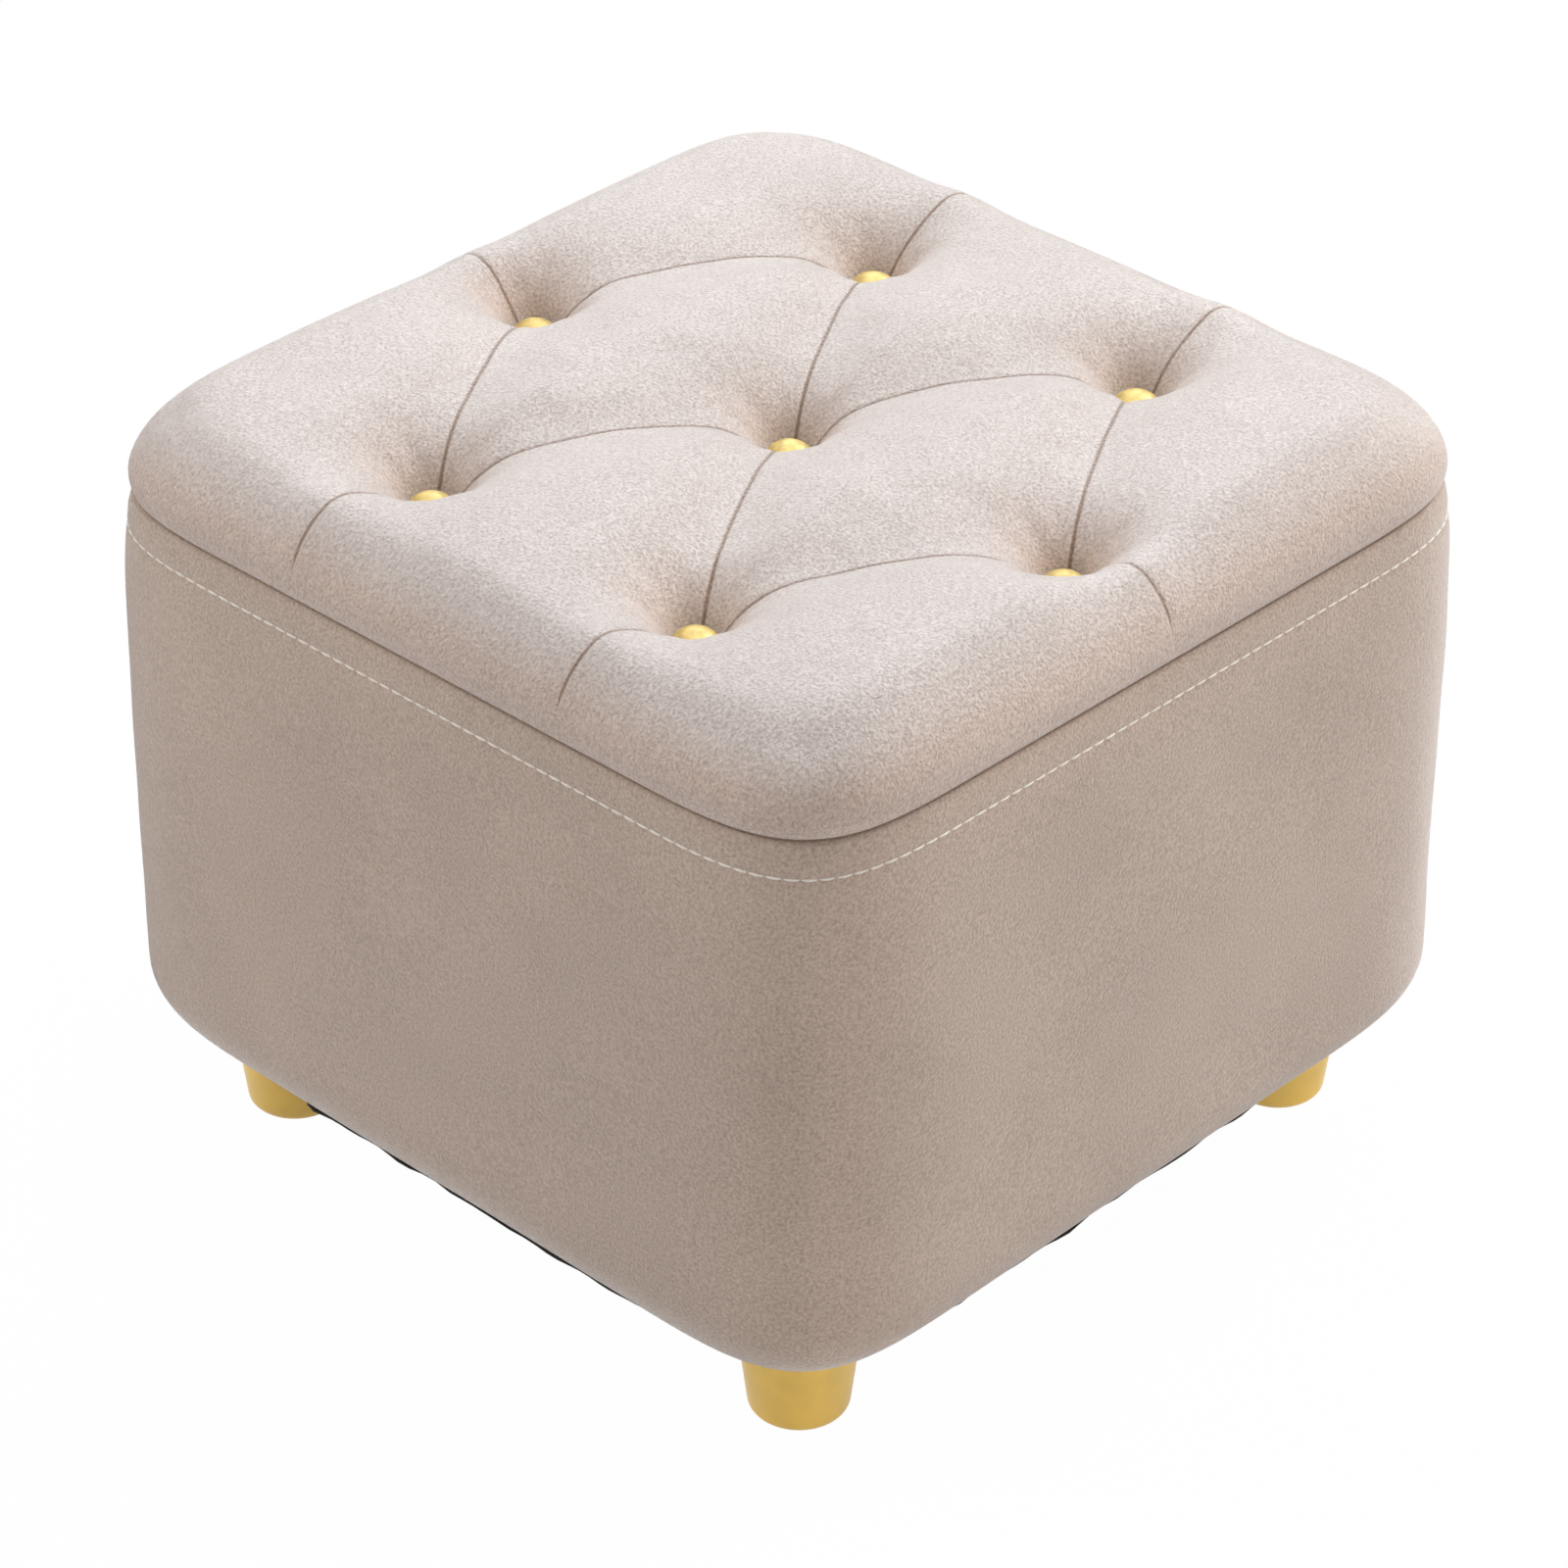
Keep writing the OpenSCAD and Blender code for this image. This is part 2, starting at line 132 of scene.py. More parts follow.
def band_faces(rows: int, columns: int, wrap_rows: bool, wrap_columns: bool) -> Array:
    """Gives the quads of a grid of points, counterclockwise where columns turn left over rows.

    Args:
        rows: Number of rows of points.
        columns: Number of points in a row.
        wrap_rows: Whether the last row joins the first.
        wrap_columns: Whether the last point of a row joins its first.

    Returns:
        One row of four vertex numbers for each quad.
    """
    i = np.arange(rows if wrap_rows else rows - 1)[:, None]
    j = np.arange(columns if wrap_columns else columns - 1)[None, :]
    below, beside = (i + 1) % rows, (j + 1) % columns
    quads = [i * columns + j, i * columns + beside, below * columns + beside, below * columns + j]
    return np.stack(np.broadcast_arrays(*quads), axis=-1).reshape(-1, 4)


def stack_faces(*groups: tuple[Array, ...]) -> Array:
    """Puts groups of faces into one array, each group given by its corners' vertex numbers."""
    return np.concatenate([np.stack(corners, axis=-1) for corners in groups])


def close_rings(rings: Array, poles: Array) -> tuple[Array, Array]:
    """Joins a stack of rings by triangles, and closes each end with a fan round a pole.

    Args:
        rings: Points by ring, step and axis, counterclockwise seen from the last pole.
        poles: Middle of the first ring's fan and of the last ring's.

    Returns:
        The points and the triangles.
    """
    count, sides = rings.shape[:2]
    quads = band_faces(count, sides, False, True)
    step = np.arange(sides)
    beside, last = (step + 1) % sides, (count - 1) * sides
    pole = np.full(sides, count * sides)
    fans = stack_faces((pole, beside, step), (pole + 1, last + step, last + beside))
    triangles = np.concatenate([quads[:, [0, 1, 2]], quads[:, [0, 2, 3]], fans])
    return np.concatenate([rings.reshape(-1, 3), poles]), triangles


def lathe(profile: Array, sides: int, centre: Pair) -> tuple[Array, Array]:
    """Turns a profile round a vertical axis.

    A point of the surface is the profile's radius along the direction of its angle, at the
    profile's height. The profile's first and last points are on the axis, and become poles.

    Args:
        profile: Rows of radius and height, from the bottom pole up the outside to the top pole.
        sides: Number of steps round the axis.
        centre: Place of the axis in x and y.

    Returns:
        The points and the triangles.
    """
    angle = np.linspace(0, 2 * math.pi, sides, endpoint=False)
    radius, height = profile[1:-1, :1], profile[1:-1, 1:]
    x, y = centre[0] + radius * np.cos(angle), centre[1] + radius * np.sin(angle)
    rings = np.stack([x, y, np.repeat(height, sides, axis=1)], axis=-1)
    return close_rings(rings, np.array([[*centre, profile[0, 1]], [*centre, profile[-1, 1]]]))


def set_line_shade(piece: bpy.types.Object, distance: Array) -> None:
    """Stores how far each vertex is from the nearest pleat or seam, where the finish paints shade.

    Args:
        piece: The piece of cloth.
        distance: One distance for each vertex.
    """
    layer = piece.data.attributes.new(LINE_SHADE, "FLOAT", "POINT")
    layer.data.foreach_set("value", np.ascontiguousarray(distance, np.float32).ravel())


def arc(centre: Pair, radius: float, start: float, end: float, steps: int) -> Array:
    """Gives points of an arc in the plane of radius and height.

    Args:
        centre: Middle of the arc.
        radius: Its radius.
        start: First angle in degrees, from the outward direction towards up.
        end: Last angle in degrees.
        steps: Number of points.

    Returns:
        Rows of radius and height.
    """
    angle = np.radians(np.linspace(start, end, steps))
    return np.stack([np.cos(angle), np.sin(angle)], axis=-1) * radius + centre


def rise(x: Array, reach: float, power: float = 1.0) -> Array:
    """Climbs from 0 to 1: one less the exponential of minus x over reach to a power."""
    return 1 - np.exp(-((np.maximum(x, 0) / reach) ** power))


def bell(x: Array) -> Array:
    """Bell curve, which is 1 at 0: the exponential of minus x squared."""
    return np.exp(-(x**2))


def ease(x: Array, low: float, high: float) -> Array:
    """Smooth step from 0 at low to 1 at high, by the cubic 3t2 - 2t3."""
    t = np.clip((x - low) / (high - low), 0, 1)
    return t * t * (3 - 2 * t)


def ripple(points: Array, length: float, seed: float) -> Array:
    """Soft irregular waves over space, about -1 to 1, as a scaled sum of six plane waves.

    Each wave runs a golden turn round from the last one, is a little longer, and tilts by a sine
    of its number. Its phase follows its turn.

    Args:
        points: Points in space, with x, y, z along the last axis.
        length: Mean length of the waves.
        seed: Number that turns and shifts the waves.

    Returns:
        The height of the waves at each point.
    """
    total = np.zeros(points.shape[:-1])
    for k in range(6):
        turn, tilt = seed + GOLDEN_TURN * k, 0.9 * math.sin(1.7 * seed + 2.1 * k)
        way = np.array([math.cos(turn), math.sin(turn), tilt]) / (length * (0.8 + 0.08 * k))
        total += np.sin(points @ way * 2 * math.pi + 5 * turn)
    return total / 3.2


def ripples(points: Array, *waves: Triple) -> Array:
    """Adds up soft waves over space, each given by its height, mean length and seed."""
    return sum(height * ripple(points, length, seed) for height, length, seed in waves)


# Finishes


def add_node(tree: bpy.types.NodeTree, kind: str, **settings: object) -> bpy.types.Node:
    """Adds a node, with its properties and its unlinked inputs set by name.

    Args:
        tree: The node tree.
        kind: Blender's name of the node type.
        settings: Properties of the node. A name of an input has its spaces as underscores.

    Returns:
        The node.
    """
    node = tree.nodes.new(kind)
    for key, value in settings.items():
        if hasattr(node, key):
            setattr(node, key, value)
        else:
            node.inputs[key.replace("_", " ")].default_value = value
    return node


class Nodes:
    """Short way to build a material's node tree."""

    def __init__(self, name: str) -> None:
        """Starts a material with its Principled shader.

        Args:
            name: Name of the material.
        """
        self.material = bpy.data.materials.new(name)
        self.material.use_nodes = True
        self.tree = self.material.node_tree
        self.shader = self.tree.nodes["Principled BSDF"]
        self.coordinates = self.add("ShaderNodeTexCoord")

    def add(self, kind: str, **settings: object) -> bpy.types.Node:
        """Adds a node to the material's tree."""
        return add_node(self.tree, kind, **settings)

    def link(self, output: Socket, target: Socket) -> None:
        """Joins an output to an input."""
        self.tree.links.new(output, target)

    def feed(self, name: str, output: Socket) -> None:
        """Joins an output to the shader's input of that name."""
        self.link(output, self.shader.inputs[name])

    def set(self, **values: object) -> None:
        """Sets uniform values on the shader's own sockets, with spaces as underscores."""
        for key, value in values.items():
            self.shader.inputs[key.replace("_", " ")].default_value = value

    def noise(self, scale: float, detail: float = 2.0, stretch: Triple = WHITE) -> Socket:
        """Adds noise in object space.

        Args:
            scale: Noise cells in a metre.
            detail: Octaves of finer noise.
            stretch: How much tighter the noise is along each axis.

        Returns:
            The noise, about 0 to 1.
        """
        place = self.add("ShaderNodeMapping", Scale=stretch)
        texture = self.add("ShaderNodeTexNoise", Scale=scale, Detail=detail)
        self.link(self.coordinates.outputs["Object"], place.inputs["Vector"])
        self.link(place.outputs["Vector"], texture.inputs["Vector"])
        return texture.outputs["Fac"]

    def ramp(self, value: Socket, first: Triple, last: Triple) -> Socket:
        """Maps a value of 0 to 1 to the colours from one to another.

        Args:
            value: The value.
            first: Colour where it is 0.
            last: Colour where it is 1.

        Returns:
            The colour's socket.
        """
        node = self.add("ShaderNodeValToRGB")
        for element, colour in zip(node.color_ramp.elements, (first, last)):
            element.color = (*colour, 1)
        self.link(value, node.inputs["Fac"])
        return node.outputs["Color"]

    def remap(
        self, value: Socket, start: float, end: float, low: float = 0.0, high: float = 1.0
    ) -> Socket:
        """Maps a value from one range to another, and holds it at both ends.

        Args:
            value: The value.
            start: Where the first range starts.
            end: Where it ends.
            low: Result at the start.
            high: Result at the end.

        Returns:
            The mapped value's socket.
        """
        node = self.add("ShaderNodeMapRange", From_Min=start, From_Max=end, To_Min=low, To_Max=high)
        self.link(value, node.inputs["Value"])
        return node.outputs["Result"]

    def spread(self, noise: Socket, low: float = 0.0, high: float = 1.0) -> Socket:
        """Maps the middle of a noise, from 0.3 to 0.7, to the range from low to high."""
        return self.remap(noise, 0.3, 0.7, low, high)

    def mix(self, first: Socket, second: Socket, share: Socket | None = None) -> Socket:
        """Mixes two colours, or multiplies them where there is no share.

        Args:
            first: The colour where the share is 0.
            second: The colour where the share is 1.
            share: Socket with the second colour's share.

        Returns:
            The colour's socket.
        """
        kind = "MULTIPLY" if share is None else "MIX"
        node = self.add("ShaderNodeMix", data_type="RGBA", blend_type=kind, Factor=1.0)
        if share is not None:
            self.link(share, node.inputs["Factor"])
        self.link(first, node.inputs[6])
        self.link(second, node.inputs[7])
        return node.outputs[2]

    def bump(self, *layers: tuple[Socket, float]) -> None:
        """Raises the surface by one or more layers of height.

        Args:
            layers: Height sockets, each with its depth in metres.
        """
        normal = None
        for height, depth in layers:
            node = self.add("ShaderNodeBump", Strength=1.0, Distance=depth)
            self.link(height, node.inputs["Height"])
            if normal is not None:
                self.link(normal, node.inputs["Normal"])
            normal = node.outputs["Normal"]
        self.feed("Normal", normal)


def from_screen(colour: Screen) -> Triple:
    """Turns a screen colour of 0 to 255 a channel into the linear colour that shaders take."""
    channels = (c / 255 for c in colour)
    return tuple(c / 12.92 if c <= 0.04045 else ((c + 0.055) / 1.055) ** 2.4 for c in channels)


@dataclass(frozen=True)
class Suede:
    """Short-nap suede cloth: mottled nap, soft patches where the nap lies over, and sheen.

    Where the cloth faces upwards its colours are painted paler and cooler, as painted light,
    and steep cloth keeps the plain ones. Pleats and the seam are darkened as painted shade.
    """

    name: str
    pile: Screen
    shade: Screen
    # Paler colours painted where the cloth faces up, as painted light
    lit_up_pile: Screen
    lit_up_shade: Screen
    depth: float
    grain: float = 0.9 * MM
    fine_scale: float = 2.6
    fine_share: float = 0.4
    patch: float = 55 * MM
    patch_dark: float = 0.91
    steep_z: float = 0.45
    level_z: float = 1.0
    # Colour of the painted shade along pleats and the seam, and where it starts and ends
    line_shade_tint: Triple = (0.5, 0.41, 0.34)
    line_shade_in: float = 0.2 * MM
    line_shade_out: float = 0.85 * MM

    def material(self) -> bpy.types.Material:
        """Builds the cloth.

        Returns:
            The material.
        """
        nodes = Nodes(self.name)
        nap = nodes.noise(1 / self.grain, detail=3)
        fine = nodes.noise(self.fine_scale / self.grain, detail=1)
        patches = nodes.spread(nodes.noise(1 / self.patch))
        mottle = nodes.spread(nap)
        steep = nodes.ramp(mottle, from_screen(self.shade), from_screen(self.pile))
        lit_upward = nodes.ramp(mottle, from_screen(self.lit_up_shade), from_screen(self.lit_up_pile))
        # Painted light: the colour turns to the paler up colours as the normal turns upwards
        facing = nodes.add("ShaderNodeSeparateXYZ")
        nodes.link(nodes.coordinates.outputs["Normal"], facing.inputs["Vector"])
        lit_share = nodes.remap(facing.outputs["Z"], self.steep_z, self.level_z)
        lying = nodes.ramp(patches, (self.patch_dark,) * 3, WHITE)
        # Painted shade: darker towards the tint near pleats and the seam
        distance = nodes.add("ShaderNodeAttribute", attribute_name=LINE_SHADE).outputs["Fac"]
        off_shade_line = nodes.remap(distance, self.line_shade_in, self.line_shade_out)
        off_shade_line.node.interpolation_type = "SMOOTHSTEP"
        # Mix of painted light on up-facing cloth and random patches where the nap lies over
        worn = nodes.mix(nodes.mix(steep, lit_upward, lit_share), lying)
        nodes.feed("Base Color", nodes.mix(worn, nodes.ramp(off_shade_line, self.line_shade_tint, WHITE)))
        nodes.bump((nap, self.depth), (fine, self.depth * self.fine_share))
        nodes.set(
            Roughness=0.92,
            Specular_IOR_Level=0.18,
            Sheen_Weight=1.0,
            Sheen_Roughness=0.35,
            Sheen_Tint=(1.0, 0.98, 0.97, 1.0),
        )
        return nodes.material


@dataclass(frozen=True)
class GoldLacquer:
    """Satin gold lacquer with faint orange peel and rubbed patches."""

    name: str
    colour: Screen
    metallic: float
    roughness: float
    roughness_change: float = 0.06
    mottle: float = 90
    worn: float = 0.86
    peel: float = 900
    peel_depth: float = 0.02 * MM

    def material(self) -> bpy.types.Material:
        """Builds the lacquer.

        Returns:
            The material.
        """
        nodes = Nodes(self.name)
        rubbed = nodes.noise(self.mottle, detail=4)
        base = from_screen(self.colour)
        worn = tuple(c * self.worn for c in base)
        nodes.feed("Base Color", nodes.ramp(nodes.spread(rubbed), worn, base))
        low, high = self.roughness - self.roughness_change, self.roughness + self.roughness_change
        nodes.feed("Roughness", nodes.spread(rubbed, low, high))
        nodes.bump((nodes.noise(self.peel, detail=1), self.peel_depth))
        nodes.set(Metallic=self.metallic)
        return nodes.material


@dataclass(frozen=True)
class Fibre:
    """Matt fibre stuff such as foam, thread, twine, felt or non-woven cloth."""

    name: str
    light: Screen
    dark: Screen
    grain: float
    depth: float

    def material(self) -> bpy.types.Material:
        """Builds the fibre.

        Returns:
            The material.
        """
        nodes = Nodes(self.name)
        strands = nodes.noise(1 / self.grain, detail=3)
        colour = nodes.ramp(nodes.spread(strands), from_screen(self.dark), from_screen(self.light))
        nodes.feed("Base Color", colour)
        nodes.bump((strands, self.depth))
        nodes.set(Roughness=0.9, Specular_IOR_Level=0.2)
        return nodes.material


class Grain(Enum):
    """Directions of a board's grain, each with how much tighter it is along each axis."""

    ALONG_X = (1, 9, 9)
    ALONG_Y = (9, 1, 9)


@dataclass(frozen=True)
class Wood:
    """Sanded board with grain that runs along one axis."""

    name: str
    light: Screen
    dark: Screen
    grain: Grain = Grain.ALONG_X
    rings: float = 14
    pores: float = 160
    pore_depth: float = 0.1 * MM
    roughness: Pair = (0.55, 0.75)

    def material(self) -> bpy.types.Material:
        """Builds the board.

        Returns:
            The material.
        """
        nodes = Nodes(self.name)
        rings = nodes.spread(nodes.noise(self.rings, detail=6, stretch=self.grain.value))
        pores = nodes.noise(self.pores, stretch=self.grain.value)
        colour = nodes.ramp(rings, from_screen(self.dark), from_screen(self.light))
        nodes.feed("Base Color", colour)
        nodes.feed("Roughness", nodes.spread(pores, *self.roughness))
        nodes.bump((pores, self.pore_depth))
        return nodes.material


@dataclass(frozen=True)
class Steel:
    """Zinc-plated steel, with the plating's faint spangle."""

    name: str
    colour: Screen
    dark: float = 0.8
    spangle: float = 400
    roughness: Pair = (0.28, 0.42)

    def material(self) -> bpy.types.Material:
        """Builds the steel.

        Returns:
            The material.
        """
        nodes = Nodes(self.name)
        spangle = nodes.noise(self.spangle, detail=3)
        base = from_screen(self.colour)
        nodes.feed("Base Color", nodes.ramp(spangle, tuple(c * self.dark for c in base), base))
        nodes.feed("Roughness", nodes.spread(spangle, *self.roughness))
        nodes.set(Metallic=1.0)
        return nodes.material


Finish = Suede | GoldLacquer | Fibre | Wood | Steel


class Finishes:
    """The stool's finishes by material slot, whose materials are built when first needed."""

    def __init__(self, kinds: dict[str, Finish]) -> None:
        """Takes the finish of each slot.

        Args:
            kinds: Finish of each material slot.
        """
        self.kinds = kinds
        self.made: dict[str, bpy.types.Material] = {}

    def material(self, slot: str) -> bpy.types.Material:
        """Gives the material of a slot.

        Args:
            slot: Name of the slot.

        Returns:
            The material, one for all pieces of the slot.
        """
        if slot not in self.made:
            self.made[slot] = self.kinds[slot].material()
        return self.made[slot]

    def dress(self, frame: dict) -> None:
        """Gives each inner CAD node that still shows the material of its slot.
        """
        for part in frame["record"]["subparts"]:
            node, slot = frame["nodes"][part["node"]], part["material_slot"]
            if node.hide_render:
                continue
            node.data.materials.clear()
            node.data.materials.append(self.material(slot))
            LOG.info("dressed %s in %s", node.name, slot)


# Shape of the upholstery


@dataclass(frozen=True)
class Plan:
    """Outline of the stool seen from above, and the outlines parallel to it.

    A side is straight, and a corner is a superellipse: the two distances into the corner's zone,
    each over the zone's length and to the power corner_n, add up to one. The zone shrinks with the
    outline, so an outline narrower than its straight sides is a plain square.
    """

    half_w: float
    corner_len: float = 70 * MM
    corner_n: float = 4.1
    crowding: float = 0.75

    @property
    def straight(self) -> float:
        """Half length of the straight part of a side."""
        return self.half_w - self.corner_len

    def place(self, w: Array, u: Array, v: Array) -> tuple[Array, Array]:
        """Moves points of plain squares to the rounded outlines of the same half widths.

        Args:
            w: Half width of each point's outline.
            u: x of the point of the plain square.
            v: y of that point.

        Returns:
            x and y.
        """
        n, start = self.corner_n, self.straight
        over_x = np.abs(u) >= np.abs(v)
        side = np.minimum(np.abs(u), np.abs(v))
        zone = np.maximum(w - start, 1e-9)
        share = np.clip((side - start) / zone, 0, 1) * 0.5 ** (1 / n)
        out = np.where(w > start, start + zone * (1 - share**n) ** (1 / n), w)
        along = np.where(side > start, start + zone * share, side)
        x = np.sign(u) * np.where(over_x, out, along)
        y = np.sign(v) * np.where(over_x, along, out)
        return x, y

    def loop(self, w: Array, steps: int) -> tuple[Array, Array]:
        """Gives outlines as closed loops, counterclockwise, with the points closer at corners.

        Args:
            w: Half widths, one for each loop, as a column.
            steps: Number of points along each side.

        Returns:
            x and y, with a row for each loop.
        """
        t = np.linspace(-1, 1, steps, endpoint=False)
        t = np.sign(t) * np.abs(t) ** self.crowding
        ones = np.ones(steps)
        u = np.concatenate([ones, -t, -ones, t])
        v = np.concatenate([t, ones, -t, -ones])
        return self.place(w, w * u, w * v)


@dataclass(frozen=True)
class Tufting:
    """Height of the seat: dimples at the buttons, pleats between them and pillows beside these."""

    plan: Plan
    pitch_x: float
    pitch_y: float
    dimple_z: float
    dimple_r: float = 7.4 * MM
    brink: float = 0.8 * MM
    brink_r: float = 6.3 * MM
    pleat_rise: float = 15.8 * MM
    pleat_reach: float = 10 * MM
    pillow_rise: float = 7.6 * MM
    pillow_reach: float = 17 * MM
    pillow_power: float = 1.5
    level_power: int = 4
    front_lift: float = 2.6 * MM
    edge_lift: float = 1.0 * MM
    lift_power: int = 6
    corner_drop: float = 9.5 * MM
    corner_power: int = 10
    ear: float = 2.8 * MM
    ear_w: float = 12 * MM
    ear_out: float = 5 * MM
    ear_run: float = 14 * MM
    fold: float = 0.5 * MM
    fold_w: float = 2.8 * MM
    fold_at: float = 15 * MM
    fold_run: float = 9 * MM
    gather: float = 1.0 * MM
    gather_turns: tuple[int, int] = (7, 11)
    gather_shift: float = 1.9
    gather_at: float = 14 * MM
    gather_run: float = 5 * MM
    slack: float = 0.45 * MM
    slack_waves: tuple[Triple, ...] = ((1.0, 44 * MM, 0.7), (0.5, 19 * MM, 3.9))
    crease: float = 0.35 * MM
    crease_r: float = 0.8 * MM
    crease_start: float = 5 * MM
    crest_inset: float = 22 * MM
    brink_inset: float = 10 * MM

    @property
    def crest_w(self) -> float:
        """Half width at which the seat starts to turn over its edge."""
        return self.plan.half_w - self.crest_inset

    @property
    def brink_w(self) -> float:
        """Half width past which the seat's height stays that of its edge."""
        return self.plan.half_w - self.brink_inset

    def buttons(self) -> Array:
        """Gives the middle of each button, as rows of x and y."""
        x, y = self.pitch_x, self.pitch_y
        return np.array([[0, 0], [0, -2 * y], [0, 2 * y], [-x, -y], [x, -y], [-x, y], [x, y]])

    def pleats(self) -> list[tuple[Array, Array]]:
        """Lays out the pleats: eight between buttons and six out over the edge.

        Returns:
            The two ends of each pleat.
        """
        x, y, far = self.pitch_x, self.pitch_y, 2 * self.plan.half_w
        ends = [((0, s * 2 * y), (0, s * far)) for s in (-1, 1)]
        for a in (-x, x):
            for b in (-y, y):
                out = math.copysign(far, a)
                ends += [((a, b), (0, 0)), ((a, b), (0, 2 * b)), ((a, b), (out, b))]
        return [(np.array(start, float), np.array(end, float)) for start, end in ends]

    def off_button(self, p: Array) -> Array:
        """Distance from each point to the nearest button's middle."""
        return np.min([np.linalg.norm(p - b, axis=-1) for b in self.buttons()], axis=0)

    def off_pleat(self, p: Array) -> Array:
        """Works out how far points are from the pleats.

        Args:
            p: Points in x and y.

        Returns:
            Distance from each point to the nearest pleat.
        """
        distances = []
        for a, b in self.pleats():
            way = b - a
            t = np.clip((p - a) @ way / (way @ way), 0, 1)
            distances.append(np.linalg.norm(p - a - t[..., None] * way, axis=-1))
        return np.min(distances, axis=0)

    def folds(self, off: Array, aside: Array) -> Array:
        """Gives the two folds that lie along each pleat where it leaves a button.

        Across the pleat a fold is x times the exponential of one less x, where x is the distance
        from the pleat over the fold's place, and along it a bell curve.

        Args:
            off: Distances from the nearest button.
            aside: Distances from the nearest pleat.

        Returns:
            Heights above the smooth cloth.
        """
        x = aside / self.fold_w
        return self.fold * x * np.exp(1 - x) * bell((off - self.fold_at) / self.fold_run)

    def gathers(self, p: Array, off: Array) -> Array:
        """Gives the small wrinkles that run out from each button.

        Round a button they are the mean of two sines of whole numbers of waves a turn, each
        shifted by the button's number, and along them a bell curve.

        Args:
            p: Points in x and y.
            off: Their distances from the nearest button.

        Returns:
            Heights above the smooth cloth.
        """
        away = p[..., None, :] - self.buttons()
        nearest = np.argmin(np.linalg.norm(away, axis=-1), axis=-1)
        way = np.take_along_axis(away, nearest[..., None, None], axis=-2)[..., 0, :]
        angle = np.arctan2(way[..., 1], way[..., 0]) + self.gather_shift * nearest
        wrinkles = sum(np.sin(n * angle) for n in self.gather_turns) / 2
        return self.gather * wrinkles * bell((off - self.gather_at) / self.gather_run)

    def height(self, p: Array) -> Array:
        """Gives the height of the cloth, without the narrow crease along a pleat.

        It is the dimple's floor plus a climb out of the dimple times the height above it. The
        climb is one less an exponential of the distance from the button. The height is the
        pleat's rise, plus a lift that grows to the edges, most to the front and back, less a drop
        at the corners, plus the pillow's swell, which is such a climb of the distance from the
        pleat and falls to nothing at the edge, plus a bell where a pleat goes over the edge, plus
        folds and a little slack.

        Args:
            p: Points in x and y.

        Returns:
            Heights.
        """
        out = np.abs(p).max(axis=-1)
        off, aside = self.off_button(p), self.off_pleat(p)
        share = np.minimum(out / self.brink_w, 1)
        level = 1 - share**self.level_power
        pillow = self.pillow_rise * level * rise(aside, self.pillow_reach, self.pillow_power)
        to_front = np.minimum(np.abs(p[..., 1]) / self.crest_w, 1)
        to_corner = np.minimum(np.abs(p).min(axis=-1) / self.brink_w, 1)
        lift = self.front_lift * to_front**self.lift_power + self.edge_lift * share**self.lift_power
        lift -= self.corner_drop * to_corner**self.corner_power
        over_edge = bell((out - self.crest_w - self.ear_out) / self.ear_run)
        ear = self.ear * bell(aside / self.ear_w) * over_edge
        flat = np.concatenate([p, np.zeros(p.shape[:-1] + (1,))], axis=-1)
        slack = self.slack * level * ripples(flat, *self.slack_waves)
        loose = slack + self.gathers(p, off) + self.folds(off, aside)
        brink = self.brink * ease(off, self.brink_r, self.dimple_r)
        climb = rise(off - self.dimple_r, self.pleat_reach)
        above = self.pleat_rise + lift + pillow + ear + loose
        return self.dimple_z + brink + climb * (above - self.brink)

    def groove(self, p: Array) -> Array:
        """Gives the depth of the crease, a bell curve across a pleat that ends in dimples."""
        across = bell(self.off_pleat(p) / self.crease_r)
        return self.crease * across * rise(self.off_button(p) - self.dimple_r, self.crease_start)


